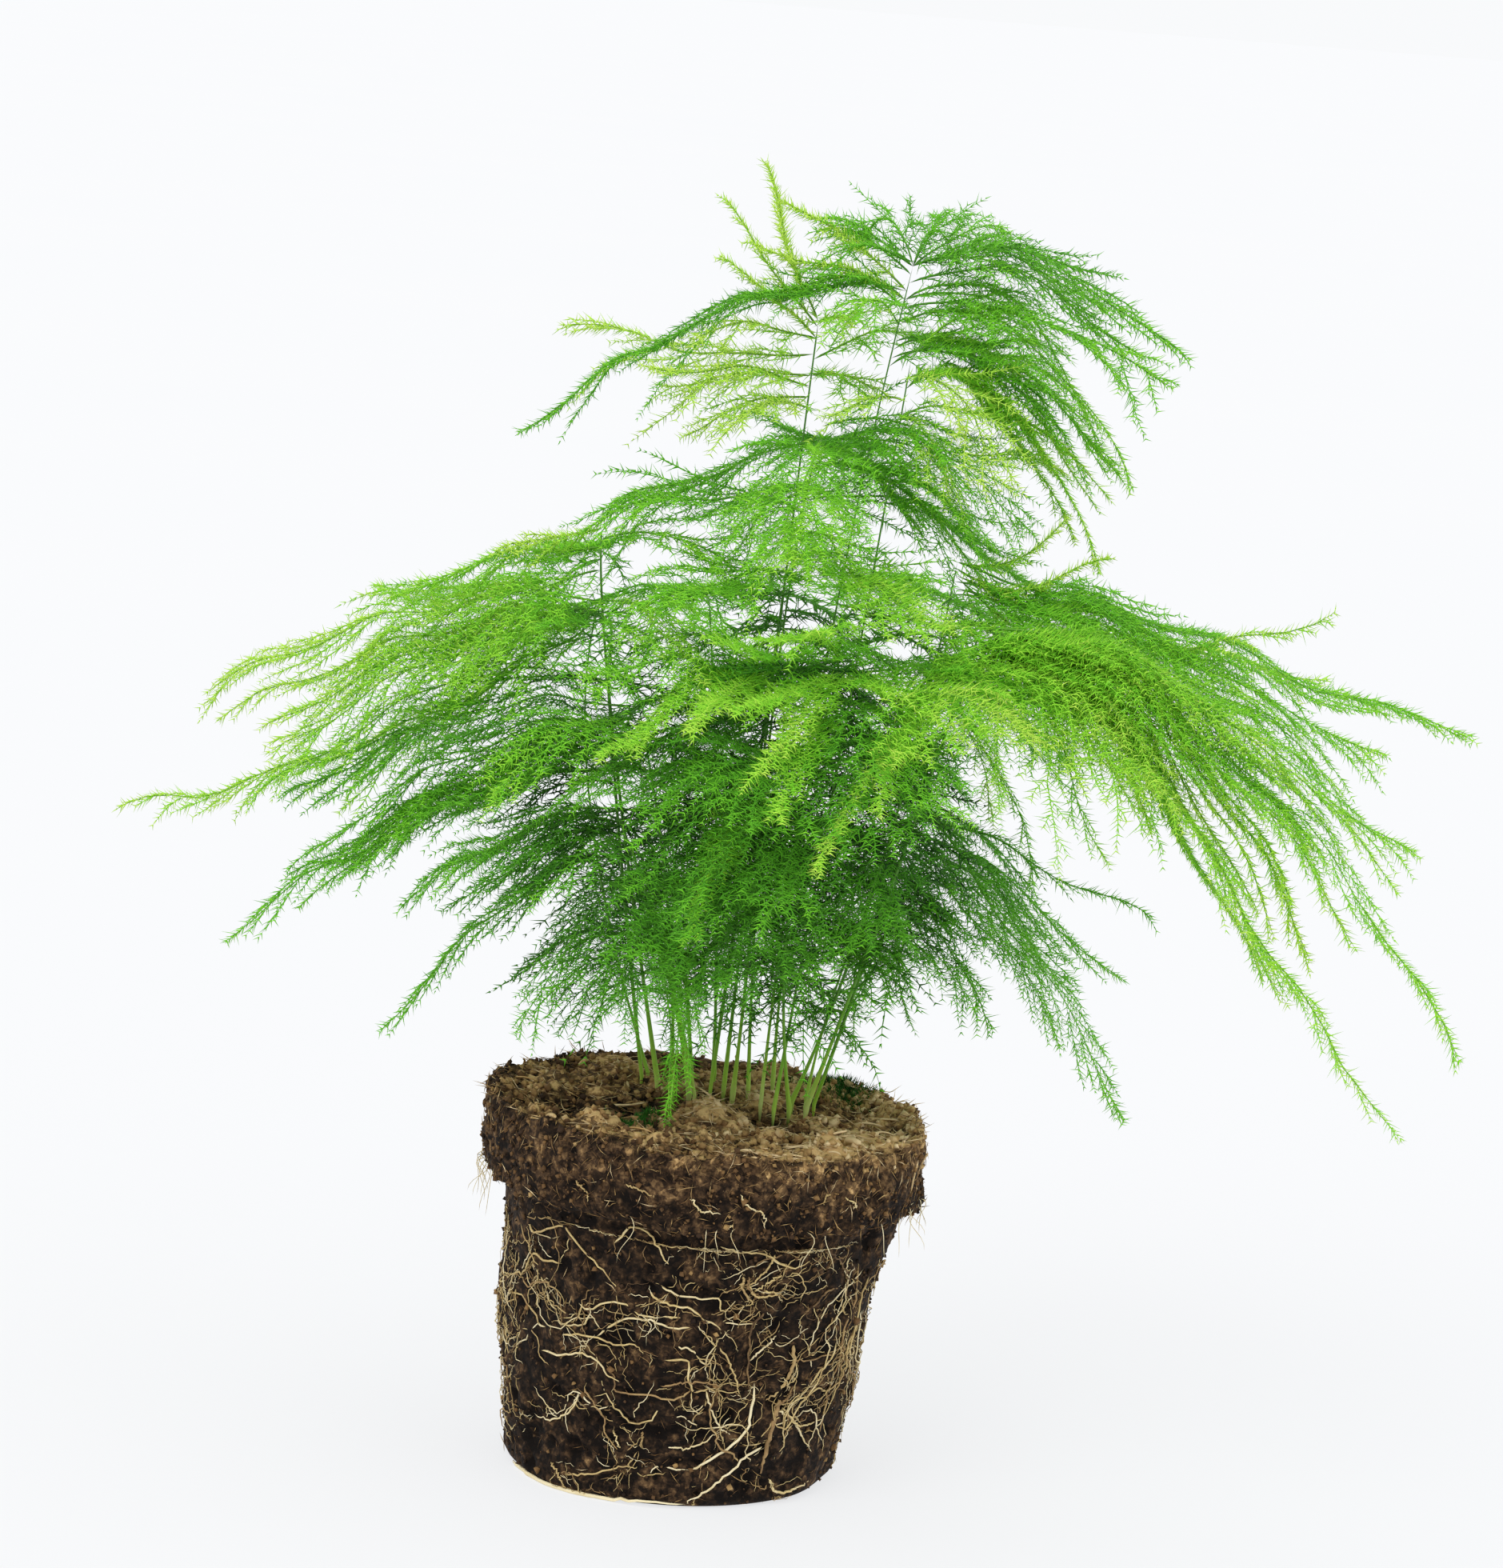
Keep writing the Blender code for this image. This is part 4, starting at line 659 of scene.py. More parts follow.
def stem_axis(shoot):
    """The curve from the collar through the halfway point to the top."""
    foot = np.array((*shoot["foot"], STEM_COLLAR)) * MM
    top = np.array(shoot["top"]) * MM
    return np.array((foot, 2 * np.array(shoot["waist"]) * MM - (foot + top) / 2, top))


def frond_axis(stem, frond):
    """The curve from the stem to the frond's tip, rising first."""
    points = points_on(stem, STEM_SHARES)
    base = np.array([np.interp(frond[0], STEM_SHARES, points[:, side]) for side in range(3)])
    tip = np.array(frond[1:4]) * MM
    return np.array((base, base + FROND_MIDDLE * (tip - base) + np.array((0, 0, frond[4] * MM)), tip))


def lay_out_axes():
    """Middle lines of every stem and frond, each bent clear of the shoots laid before it."""
    room = Room()
    stems = {name: bend_clear(room, stem_axis(shoot), stem_rings, name) for name, shoot in SHOOTS.items()}
    fronds = {}
    for name, shoot in SHOOTS.items():
        fronds[name] = [bend_clear(room, frond_axis(stems[name], frond), frond_rings, name)
                        for frond in shoot["fronds"]]
    return stems, fronds


def frond_frame(axis, slope, roll):
    """Side and normal directions of a frond's flat spray, the side away from the front lifted."""
    along = axis[2] - axis[0]
    side = unit(np.array((-along[1], along[0], 0.0)))
    side = side if side[1] >= 0 else -side
    normal = unit(np.cross(slope, side))
    normal = normal * np.where(normal[:, 2] < 0, -1, 1)[:, None]
    turn = math.radians(roll)
    return math.cos(turn) * side + math.sin(turn) * normal, normal


def twig_axes(axis, half_width, roll, spacing, draw):
    """Twigs left and right of a frond's middle, longest near its foot, all leaning to its tip."""
    count = max(4, int(curve_length(axis) * (1 - TWIG_START) / spacing))
    order = np.arange(count)
    share = TWIG_START + (TWIG_END - TWIG_START) * (order + draw.uniform(-0.25, 0.25, count)) / count
    hand = np.where(order % 2, 1.0, -1.0)[:, None]
    start = points_on(axis, share)
    slope = slope_at(axis[None], share[None])[0]
    side, normal = frond_frame(axis, slope, roll * ROLL_SHARE)
    outline = np.minimum(1, 0.25 + share / 0.2) * (1 - share) ** 0.75
    reach = half_width * TWIG_WIDENING * outline * draw.uniform(*TWIG_REACHES, count)
    lean = np.radians(TWIG_LEAN_FOOT + (TWIG_LEAN_TIP - TWIG_LEAN_FOOT) * share)[:, None]
    length = (np.maximum(reach, SHORTEST_TWIG) * MM)[:, None] / np.sin(lean)
    middle = start + length * TWIG_LEGS[0] * (np.cos(lean) * slope + np.sin(lean) * hand * side)
    middle += normal * length * draw.uniform(*TWIG_BOWS, count)[:, None]
    lean = lean - math.radians(TWIG_BEND)
    end = middle + length * TWIG_LEGS[1] * (np.cos(lean) * slope + np.sin(lean) * hand * side)
    droop = draw.uniform(*TWIG_DROOPS, count)
    droop = np.where(draw.random(count) < HANGING_TWIGS, HANG, droop)
    end[:, 2] -= length[:, 0] * droop
    middle[:, 2] -= length[:, 0] * droop * MIDDLE_DROOP
    return np.stack((start, middle, end), 1), share, normal


def side_twig_axes(twigs, normal, spacing, draw):
    """Side twigs left and right of each longer twig, in the spray's plane, and the twig that bears each."""
    length = curve_lengths(twigs)
    count = np.where(length < SHORTEST_BRANCHING_TWIG, 0, np.maximum((length / spacing).astype(int) - 1, 0))
    bearer, order = numbered(count)
    share = (order + 0.9 + draw.uniform(-0.2, 0.2, len(bearer))) / (count[bearer] + 1.2)
    start, slope = places_on(twigs, bearer, share)
    side = unit(np.cross(normal[bearer], slope)) * np.where(order % 2, 1.0, -1.0)[:, None]
    longest = SIDE_TWIG_SHARE * length[bearer] * (1 - share)
    reach = (longest * draw.uniform(*SIDE_TWIG_REACHES, len(bearer)) + SIDE_TWIG_EXTRA)[:, None]
    out = math.cos(SIDE_TWIG_LEAN) * slope + math.sin(SIDE_TWIG_LEAN) * side
    middle = start + out * reach * SIDE_TWIG_LEGS[0]
    end = middle + unit(out + SIDE_TWIG_CURL * slope) * reach * SIDE_TWIG_LEGS[1]
    end[:, 2] -= reach[:, 0] * draw.uniform(*SIDE_TWIG_DROOPS, len(bearer))
    kept = reach[:, 0] > SHORTEST_SIDE_TWIG
    return np.stack((start, middle, end), 1)[kept], bearer[kept]


class Surface:
    """Corners, triangles and per-corner values gathered from many shapes, for one piece."""

    def __init__(self):
        self.corners, self.faces, self.values, self.count = [], [], [], 0

    def add(self, corners, faces, **values):
        """Add a shape. Each value is one number for all its corners or an array with one for each."""
        self.corners.append(corners)
        self.faces.append(faces + self.count)
        self.values.append({key: np.broadcast_to(value, len(corners)) for key, value in values.items()})
        self.count += len(corners)

    def piece(self, name, slot, finish, *nodes):
        """Make the mesh, ride it on the plant, and let it stand for the nodes that it replaces."""
        corners, faces = np.concatenate(self.corners), np.concatenate(self.faces)
        corners[:, 2] = np.maximum(corners[:, 2], 0)
        mesh = bpy.data.meshes.new(name)
        mesh.vertices.add(len(corners))
        mesh.vertices.foreach_set("co", corners.astype("f4").ravel())
        mesh.loops.add(faces.size)
        mesh.loops.foreach_set("vertex_index", faces.astype("i4").ravel())
        mesh.polygons.add(len(faces))
        mesh.polygons.foreach_set("loop_start", np.arange(0, faces.size, 3, dtype="i4"))
        mesh.update(calc_edges=True)
        mesh.polygons.foreach_set("use_smooth", np.ones(len(faces), bool))
        for key in self.values[0]:
            layer = mesh.attributes.new(key, "FLOAT", "POINT")
            layer.data.foreach_set("value", np.concatenate([v[key] for v in self.values]).astype("f4"))
        mesh.materials.append(finish)
        thing = bpy.data.objects.new(name, mesh)
        bpy.context.scene.collection.objects.link(thing)
        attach(thing, "root")
        if nodes:
            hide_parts(*nodes)


def copies(corners, one):
    """All the corners and triangles of many shapes that have the same few triangles."""
    faces = one[None] + (np.arange(len(corners)) * corners.shape[1])[:, None, None]
    return corners.reshape(-1, 3), faces.reshape(-1, 3)


def circle(sides, one, two):
    """Points of a circle of radius 1: cos w times one direction plus sin w times another."""
    turn = (TURN * np.arange(sides) / sides)[:, None]
    return np.cos(turn) * one[..., None, :] + np.sin(turn) * two[..., None, :]


def tube(points, radii, facing, sides):
    """Tubes carried along many paths at once.

    Ring k of a path is its point plus radius times (cos w * side + sin w * up), where side is square to
    the path and to the facing direction. The first and last points close each tube.
    """
    count, rings = points.shape[:2]
    along = unit(np.gradient(points, axis=1))
    side = unit(np.cross(along, facing))
    up = np.cross(along, side)
    wall = points[:, 1:-1, None] + radii[:, 1:-1, None, None] * circle(sides, side[:, 1:-1], up[:, 1:-1])
    inner = (rings - 2) * sides
    corners = np.concatenate((points[:, :1], wall.reshape(count, inner, 3), points[:, -1:]), axis=1)
    here = 1 + np.arange(inner).reshape(rings - 2, sides)
    there = np.roll(here, -1, axis=1)
    first, last = np.zeros(sides, int), np.full(sides, 1 + inner)
    return copies(corners, join((first, there[0], here[0]), (here[-1], there[-1], last),
                                (here[:-1], there[:-1], there[1:]), (here[:-1], there[1:], here[1:])))


def join(*groups):
    """One list of triangles from groups, each given as its three corners' numbers."""
    return np.concatenate([np.stack(group, -1).reshape(-1, 3) for group in groups])


def curve_tube(axes, radii, rings, sides, normal):
    """Tapered tubes along quadratic curves, their sides turned by the spray's normal."""
    share = np.broadcast_to(np.linspace(0, 1, rings), (len(axes), rings))
    taper = radii[0] + (radii[1] - radii[0]) * share
    return tube(curve_at(axes, share), taper, np.broadcast_to(normal[:, None], (len(axes), rings, 3)), sides)


def spikes(foot, direction, length, radius):
    """Slim closed spikes with three sides: a small triangle square to the direction, and a tip."""
    side = unit(np.cross(direction, np.array((0.31, 0.22, 0.92))))
    base = foot[:, None] + radius * circle(3, side, np.cross(direction, side))
    tip = foot + direction * length[:, None]
    one = np.array(((0, 2, 1), (0, 1, 3), (1, 2, 3), (2, 0, 3)))
    return copies(np.concatenate((base, tip[:, None]), axis=1), one)


def needle_pairs(foot, along, out, lengths, leans, radius):
    """Two needles from one foot: a small triangle square to `out`, drawn to a tip on either side.

    Each tip is the foot plus its length times (cos lean * along +- sin lean * out).
    """
    ring = foot[:, None] + radius * circle(3, along, np.cross(out, along))
    forward = lengths[..., None] * np.cos(leans)[..., None] * along[:, None]
    sideways = lengths[..., None] * np.sin(leans)[..., None] * out[:, None]
    tips = foot[:, None] + forward + sideways * np.array((1, -1))[:, None]
    one = np.array(((0, 1, 3), (1, 2, 3), (2, 0, 3), (1, 0, 4), (2, 1, 4), (0, 2, 4)))
    return copies(np.concatenate((ring, tips), axis=1), one)


def needles_along(axes, normal, tone, spread, rule, flatness, grain, draw):
    """Pairs of needles at even nodes along branches: flat, turned one way and turned the other, in order."""
    start, taper = rule
    length = curve_lengths(axes)
    count = np.maximum((length * (1 - start) / (grain.nodes * spread)).astype(int), 1)
    bearer, order = numbered(count)
    share = start + (1 - start) * (order + 0.7 + draw.uniform(-0.2, 0.2, len(bearer))) / count[bearer]
    share = np.minimum(share, LAST_NEEDLES)
    foot, along = places_on(axes, bearer, share)
    side = unit(np.cross(along, normal[bearer]))
    up = np.cross(side, along)
    turn = (NEEDLE_TURN * (order % 3 - 1) + draw.normal(0, 0.2, len(bearer)))[:, None]
    out = unit(np.cos(turn) * side + flatness * np.sin(turn) * up)
    shape = (len(bearer), 2)
    lengths = draw.uniform(*grain.needles, shape) * np.interp(share, (0, 0.5, 1), taper)[:, None]
    leans = draw.uniform(*NEEDLE_LEANS, shape)
    corners, faces = needle_pairs(foot, along, out, lengths, leans, grain.radius)
    shade = tone[bearer] + NEEDLE_LIGHTENING * (share - 0.5) + draw.normal(0, TONE_CHANCE, len(bearer))
    return corners, faces, np.repeat(np.clip(shade, 0, 1), 5)


def sway(points, foot):
    """Points moved by the slow waves, which fade to nothing at a frond's foot."""
    reach = np.linalg.norm(points - foot, axis=-1, keepdims=True)
    shift = sum(np.sin(points @ np.array(wave) / MM + start)[..., None] * np.array(push)
                for wave, start, push in SWAYS)
    return points + shift * MM * np.minimum(reach / SWAY_REACH, 1)


def make_frond(surface, axis, half_width, roll, tone, grain, draw):
    """One frond: its middle, twigs and side twigs as tubes, and needles along them all."""
    twigs, share, normal = twig_axes(axis, half_width, roll, grain.twigs, draw)
    side_twigs, bearer = side_twig_axes(twigs, normal, grain.side_twigs, draw)
    height, reach = axis[1, 2] / MM, math.hypot(*axis[1, :2]) / MM
    # Painted light: fronds high up or far out are painted lighter; the coarse sprays inside the bush are
    # not.
    if grain is not COARSE:
        for value, (low, high, gain) in ((height, PAINTED_LIGHT_ABOVE), (reach, PAINTED_LIGHT_OUTSIDE)):
            tone = tone + gain * float(np.clip((value - low) / (high - low), 0, 1))
    tones = tone + TWIG_LIGHTENING * (share - 0.45) + draw.normal(0, TONE_CHANCE, len(twigs))
    tones = np.clip(tones, 0, 1)
    middle_normal = normal[len(normal) // 2][None]
    for axes, radii, rings, sides, facing, bark in (
            (axis[None], FROND_RADII, 20, 4, middle_normal, 0.8),
            (twigs, TWIG_RADII, 5, 3, normal, 0.5),
            (side_twigs, SIDE_TWIG_RADII, 3, 3, normal[bearer], 0.3)):
        corners, faces = curve_tube(axes, radii, rings, sides, facing)
        surface.add(sway(corners, axis[0]), faces, tone=tone, bark=bark)
    flatness = SPRAY_FLATNESS + 0.4 * max(tone - 0.7, 0)
    spread = np.interp(share, (0, 1), NODE_SHARES)
    middle_spread = spread[-1:] * MIDDLE_NODE_SHARE
    for axes, facing, values, apart, rule in (
            (axis[None], middle_normal, np.array((tone + 0.1,)), middle_spread, MIDDLE_NEEDLES),
            (twigs, normal, tones, spread, TWIG_NEEDLES),
            (side_twigs, normal[bearer], tones[bearer] + 0.04, spread[bearer], SIDE_TWIG_NEEDLES)):
        corners, faces, shades = needles_along(axes, facing, values, apart, rule, flatness, grain, draw)
        surface.add(sway(corners, axis[0]), faces, tone=shades, bark=0.0)


def inner_sprays(stem, heights, lengths, draw):
    """Short drooping sprays inside the bush, each turned from the last by the golden angle."""
    low, high, apart = heights
    height = np.arange(low, min(high, stem[2, 2] / MM), apart) + draw.uniform(0, apart)
    trace = np.linspace(0, 1, TRACE_POINTS)
    share = np.interp(height, points_on(stem, trace)[:, 2] / MM, trace)
    angle = draw.uniform(0, TURN) + GOLDEN_ANGLE * np.arange(len(height))
    levels, shorter, lighter = INNER_LEVELS
    length = draw.uniform(*lengths, len(height)) * np.interp(height, levels, shorter)
    tips = points_on(stem, share) / MM
    tips[:, 0] = np.clip(tips[:, 0] + length * np.cos(angle), *INNER_EDGES)
    tips[:, 1] += length * np.sin(angle) * INNER_DEPTH
    tips[:, 2] -= draw.uniform(*INNER_FALLS, len(height))
    half = draw.uniform(*INNER_HALF_WIDTHS, len(height))
    # Painted shade: dark tones for the bush's depth, less dark near its foot and top.
    tones = draw.uniform(*INNER_PAINTED_SHADE_TONES, len(height)) + np.interp(height, levels, lighter)
    return [(s, *tip, INNER_RISE, h, 0, t) for s, tip, h, t in zip(share, tips, half, tones)]


def add_stem(surface, line, radii, sides, tone):
    """A stem along a line of points, from its foot inside the soil."""
    line = np.vstack((line[:1] + DOWN * STEM_SINK, line))
    facing = np.broadcast_to(STEM_FACING, line.shape)
    surface.add(*tube(line[None], radii[None], facing[None], sides), tone=tone, bark=1.0)


def make_shoot(name, stem, fronds, number, finish):
    """One shoot: its stems, fronds and sprays. Returns the number of fronds so far."""
    surface = Surface()
    draw = np.random.default_rng(STEM_SEED + number)
    share = np.linspace(0, 1, STEM_POINTS)
    radii = np.interp(np.append(0, share), STEM_HEIGHTS, STEM_RADII) * draw.uniform(*STEM_THICKNESSES)
    add_stem(surface, points_on(stem, share), radii, 7, draw.uniform(0, 1))
    if name in SISTER_STEMS:
        aside = np.array((*SISTER_STEMS[name], 0.0)) * MM * (1 - share)[:, None] ** 1.5
        radii = np.interp(np.append(0, share), (0, 1), SISTER_RADII)
        add_stem(surface, points_on(stem, share * SISTER_REACH) + aside, radii, 5, draw.uniform(0, 1))
    seen = SHOOTS[name]["sprays"]
    for (*_, half, roll, tone), axis in (*zip(SHOOTS[name]["fronds"], fronds),
                                         *((spray, frond_axis(stem, spray)) for spray in seen)):
        grain = PLUME if half <= PLUME_HALF_WIDTH and tone >= PLUME_TONE else FINE
        grain = BACK if name in BACK_SHOOTS else grain
        make_frond(surface, axis, half, roll, tone, grain, np.random.default_rng(FROND_SEED + number))
        number += 1
    inner = inner_sprays(stem, INNER_HEIGHTS, INNER_LENGTHS, np.random.default_rng(INNER_SEED + number))
    if name in CORE_SHOOTS:
        inner += inner_sprays(stem, CORE_HEIGHTS, CORE_LENGTHS, np.random.default_rng(CORE_SEED + number))
    for spray in inner:
        draw = np.random.default_rng(FROND_SEED + number)
        make_frond(surface, frond_axis(stem, spray), *spray[-3:], COARSE, draw)
        number += 1
    surface.piece(f"{name}_foliage", "foliage", finish, name)
    return number


def value_noise(points, seed):
    """Smooth noise from -1 to 1: random numbers at whole-number corners, blended by 3t^2 - 2t^3."""
    cell = np.floor(points).astype(np.int64)
    part = points - cell
    fade = part * part * (3 - 2 * part)
    total = np.zeros(points.shape[:-1])
    for corner in range(8):
        step = np.array((corner & 1, corner >> 1 & 1, corner >> 2))
        key = ((cell + step) * np.array((73856093, 19349663, 83492791))).sum(-1) + seed * 2654435761
        key = (key ^ (key >> 13)) * 1274126177 & 0x7fffffff
        key = (key ^ (key >> 15)) * 668265263 & 0x7fffffff
        total += (key / 0x3fffffff - 1) * np.where(step, fade, 1 - fade).prod(-1)
    return total


def layered_noise(points, size, seed, layers):
    """Noise at a size in metres, then at half that size and half the strength, and so on."""
    return sum(value_noise(points / size * 2 ** k, seed + k) / 2 ** k for k in range(layers)) / 1.5


def smooth_step(values, low, high):
    """0 below low, 1 above high, and 3t^2 - 2t^3 between."""
    t = np.clip((values - low) / (high - low), 0, 1)
    return t * t * (3 - 2 * t)


def soil_height(x, y):
    """Change in the soil's height: slow waves and the lumps and hollows of the table."""
    u, v = x / MM, y / MM
    change = SOIL_RELIEF * (np.sin(0.23 * u + 1.1) * np.cos(0.19 * v) + np.sin(0.31 * v - 0.17 * u))
    for place_x, place_y, height, width in SOIL_LUMPS:
        change = change + height * np.exp(-((u - place_x) ** 2 + (v - place_y) ** 2) / width ** 2)
    return change * MM


def wall_relief(angle, height):
    """Change in the wall's radius: waves round the ball that slant as they rise."""
    z = height / MM
    waves = np.sin(5 * angle + 0.11 * z) + np.sin(8 * angle - 0.16 * z + 1)
    return WALL_RELIEF * MM * (waves + np.sin(3 * angle + 0.07 * z + 2))


def settle(place):
    """Points of the upright ball where they lie in the leaning one."""
    x, y, z = np.moveaxis(place, -1, 0)
    lean = BALL_LEAN * MM * np.clip(1 - z / MM / BALL_BAND_FOOT_HEIGHT, 0, 1)
    return np.stack((x - lean, y, z * (1 - BALL_TILT * x)), -1)


def rim_wear(angle):
    """How far the rim's edge has crumbled, in metres: waves round the ball, strongest in front."""
    waves = 0.55 + 0.25 * np.sin(7 * angle + 1) + 0.2 * np.sin(12 * angle + 2.2) + 0.15 * np.sin(19 * angle)
    left, right = ((0.5 + 0.5 * np.cos(angle + turn)) ** 24 for turn in (np.pi, 0))
    ends = left * RIM_ENDS[0] + right * RIM_ENDS[1]
    return (RIM_WEAR * waves * (0.3 + 0.7 * smooth_step(-np.sin(angle), 0.1, 0.6)) - ends) * MM


def ball_section():
    """The root ball's half section as evenly spaced points, from the top's middle to the underside's."""
    rim, band = (BALL_RIM_RADIUS, BALL_RIM_HEIGHT), (BALL_BAND_FOOT_RADIUS, BALL_BAND_FOOT_HEIGHT)
    corners = np.array((
        (0, SOIL_HEIGHT), (50, SOIL_HEIGHT), (rim[0] - 2.0, rim[1] - 0.4), (rim[0] + 0.1, rim[1] - 0.8),
        (rim[0] + 0.2, rim[1] - 3.0), (rim[0], (rim[1] + band[1]) / 2), (band[0] + 0.8, band[1] + 0.6),
        (band[0], band[1] - 0.4), (BALL_WALL_TOP_RADIUS, band[1] - 0.9), (BALL_FOOT_RADIUS, 2.0),
        (BALL_FOOT_RADIUS - 1.6, 0), (0, 0))) * MM
    run = np.append(0, np.cumsum(np.linalg.norm(np.diff(corners, axis=0), axis=1)))
    place = np.linspace(0, run[-1], int(run[-1] / (BALL_ROW * MM)))
    return np.stack([np.interp(place, run, corners[:, side]) for side in range(2)], -1)


class RootBall:
    """The soil's surface as a grid of rows and turns, which fibres, roots and moss are laid on."""

    def __init__(self):
        section = ball_section()[1:-1]
        self.rim, self.heights = int(section[:, 0].argmax()), section[:, 1]
        place = self.worn_form(section[:, 0][:, None], section[:, 1][:, None])
        wall = (1 - self.top) * (1 - self.band) * (1 - self.under)
        hills = soil_height(place[..., 0], place[..., 1]) / MM * self.top
        place = settle(place)
        clods = np.abs(layered_noise(place, CLOD_SIZE, 11, 3))
        crumbs = layered_noise(place, CRUMB_SIZE, 21, 2)
        pits = smooth_step(layered_noise(place * np.array((1, 1, 1.3)), PIT_SIZE, 31, 2), *PIT_DEPTHS)
        self.lift = sum(part * (a * clods + level + b * crumbs + c * pits)
                        for part, (a, level, b, c) in zip((self.top, self.band, wall), BALL_ROUGHNESS))
        # Painted shade: the soil's colour follows its relief, lighter on clods and lumps, darker in pits and
        # hollows.
        self.shade = self.lift + PAINTED_HILL_SHADE * hills
        around = np.roll(place, -1, axis=1) - np.roll(place, 1, axis=1)
        self.outward = unit(np.cross(np.gradient(place, axis=0), around))
        self.place = place + self.outward * self.lift[..., None] * MM
        self.place[..., 2] = np.maximum(self.place[..., 2], 0)
        self.seat = place + self.outward * (softened(self.lift, SEAT_SOFTENING) * MM)[..., None]

    def worn_form(self, radius, height):
        """The upright ball with its lumps, waves and worn rim. Marks the top, the band and the underside."""
        angle = np.linspace(0, TURN, BALL_TURNS, endpoint=False)[None]
        place = np.stack(np.broadcast_arrays(radius * np.cos(angle), radius * np.sin(angle), height), -1)
        inside = smooth_step(-np.hypot(place[..., 0], place[..., 1]), *TOP_REACHES)
        self.top = smooth_step(place[..., 2], *TOP_HEIGHTS) * inside
        fade = np.clip((BALL_RIM_RADIUS + 2 - radius / MM) / 12, 0.35, 1)
        lumps = soil_height(place[..., 0], place[..., 1]) * fade
        place[..., 2] += np.where(height > (BALL_RIM_HEIGHT - 4) * MM, lumps, 0)
        on_wall = smooth_step(np.broadcast_to(radius, place.shape[:2]), *SIDE_REACHES) * (1 - self.top)
        place[..., :2] *= (1 + on_wall * wall_relief(angle, place[..., 2]) / radius)[..., None]
        edge = smooth_step(place[..., 2], *EDGE_HEIGHTS) * smooth_step(radius, *EDGE_REACHES)
        wear = edge * rim_wear(angle)
        place[..., 2] -= wear
        place[..., :2] *= (1 - 0.6 * np.maximum(wear, 0) / radius)[..., None]
        band_foot = (BALL_BAND_FOOT_HEIGHT + 0.5) * MM
        self.band = smooth_step(place[..., 2], band_foot - 3 * MM, band_foot) * (1 - self.top)
        self.under = 1 - smooth_step(place[..., 2], *UNDERSIDE_HEIGHTS)
        return place

    def zones(self, stray):
        """How likely litter lies on the top, on the band and on the wall, and a little of it elsewhere."""
        above = 1 - self.under
        wall = (1 - self.top) * (1 - self.band) * above
        return (self.top + stray) * above, (self.band + stray) * above, wall

    def at(self, row, turn, grid):
        """A grid's point and the outward direction at fractional places, blended between four corners."""
        row = np.clip(row, 0, len(grid) - 1.001)
        r, t = np.floor(row).astype(int), np.floor(turn).astype(int)
        a, b = (row - r)[..., None], (turn - t)[..., None]
        corners = [(r, t, (1 - a) * (1 - b)), (r + 1, t, a * (1 - b)), (r, t + 1, (1 - a) * b),
                   (r + 1, t + 1, a * b)]
        place, out = (sum(values[i, j % BALL_TURNS] * weight for i, j, weight in corners)
                      for values in (grid, self.outward))
        return place, unit(out)

    def on_side(self, degrees, height):
        """Seat and outward direction on the band or wall at an angle and a height in millimetres."""
        row = np.interp(-height * MM, -self.heights[self.rim:], np.arange(self.rim, len(self.heights)))
        return self.at(row, degrees / 360 % 1 * BALL_TURNS, self.seat)

    def on_top(self, x, y):
        """Surface point and outward direction on the top, at a place in millimetres."""
        reaches = np.hypot(self.seat[:self.rim, 0, 0], self.seat[:self.rim, 0, 1])
        row = np.interp(np.hypot(x, y) * MM, reaches, np.arange(self.rim))
        return self.at(row, np.degrees(np.arctan2(y, x)) / 360 % 1 * BALL_TURNS, self.place)

    def scatter(self, count, chance, draw):
        """Random surface points and outward directions, as likely as `chance` times the cell's area."""
        area = np.hypot(self.place[..., 0], self.place[..., 1]) * chance
        cell = draw.choice(area.size, count, p=area.ravel() / area.sum())
        row, turn = np.divmod(cell, BALL_TURNS)
        return self.at(row + draw.random(count), turn + draw.random(count), self.place)

    def make(self, finish):
        """Join the grid's rows and close its two poles."""
        top = self.place[:1].mean((0, 1))[None]
        bottom = self.place[-1:].mean((0, 1))[None] * np.array((1, 1, 0))
        corners = np.concatenate((top, self.place.reshape(-1, 3), bottom))
        here = 1 + np.arange(len(corners) - 2).reshape(-1, BALL_TURNS)
        there = np.roll(here, -1, axis=1)
        first, last = np.zeros(BALL_TURNS, int), np.full(BALL_TURNS, len(corners) - 1)
        faces = join((here[:-1], here[1:], there[1:]), (here[:-1], there[1:], there[:-1]),
                     (first, here[0], there[0]), (here[-1], last, there[-1]))
        # The layer named lift carries that painted shade.
        lift, band, top = (np.concatenate((values[0, :1], values.ravel(), values[-1, :1]))
                           for values in (self.shade, self.band, self.top))
        surface = Surface()
        surface.add(corners, faces, lift=lift, band=band, top=top)
        surface.piece("potting_soil", "soil", finish, "root_ball")


def softened(values, rounds):
    """A grid of rows and turns blurred: each value mixed with its neighbours, again and again."""
    for _ in range(rounds):
        values = (np.roll(values, 1, axis=1) + 2 * values + np.roll(values, -1, axis=1)) / 4
        middle = (values[:-2] + 2 * values[1:-1] + values[2:]) / 4
        values = np.concatenate((values[:1], middle, values[-1:]))
    return values


def smooth_path(points, count):
    """A Catmull-Rom curve through a root's points, at evenly spaced parameters."""
    points = np.array(points, float)
    padded = np.vstack((2 * points[0] - points[1], points, 2 * points[-1] - points[-2]))
    place = np.linspace(0, len(points) - 1.0001, count)
    leg = place.astype(int)
    t = (place - leg)[:, None]
    a, b, c, d = (padded[leg + step] for step in range(4))
    square, cube = 2 * a - 5 * b + 4 * c - d, 3 * b - a - 3 * c + d
    return 0.5 * (2 * b + (c - a) * t + square * t ** 2 + cube * t ** 3)


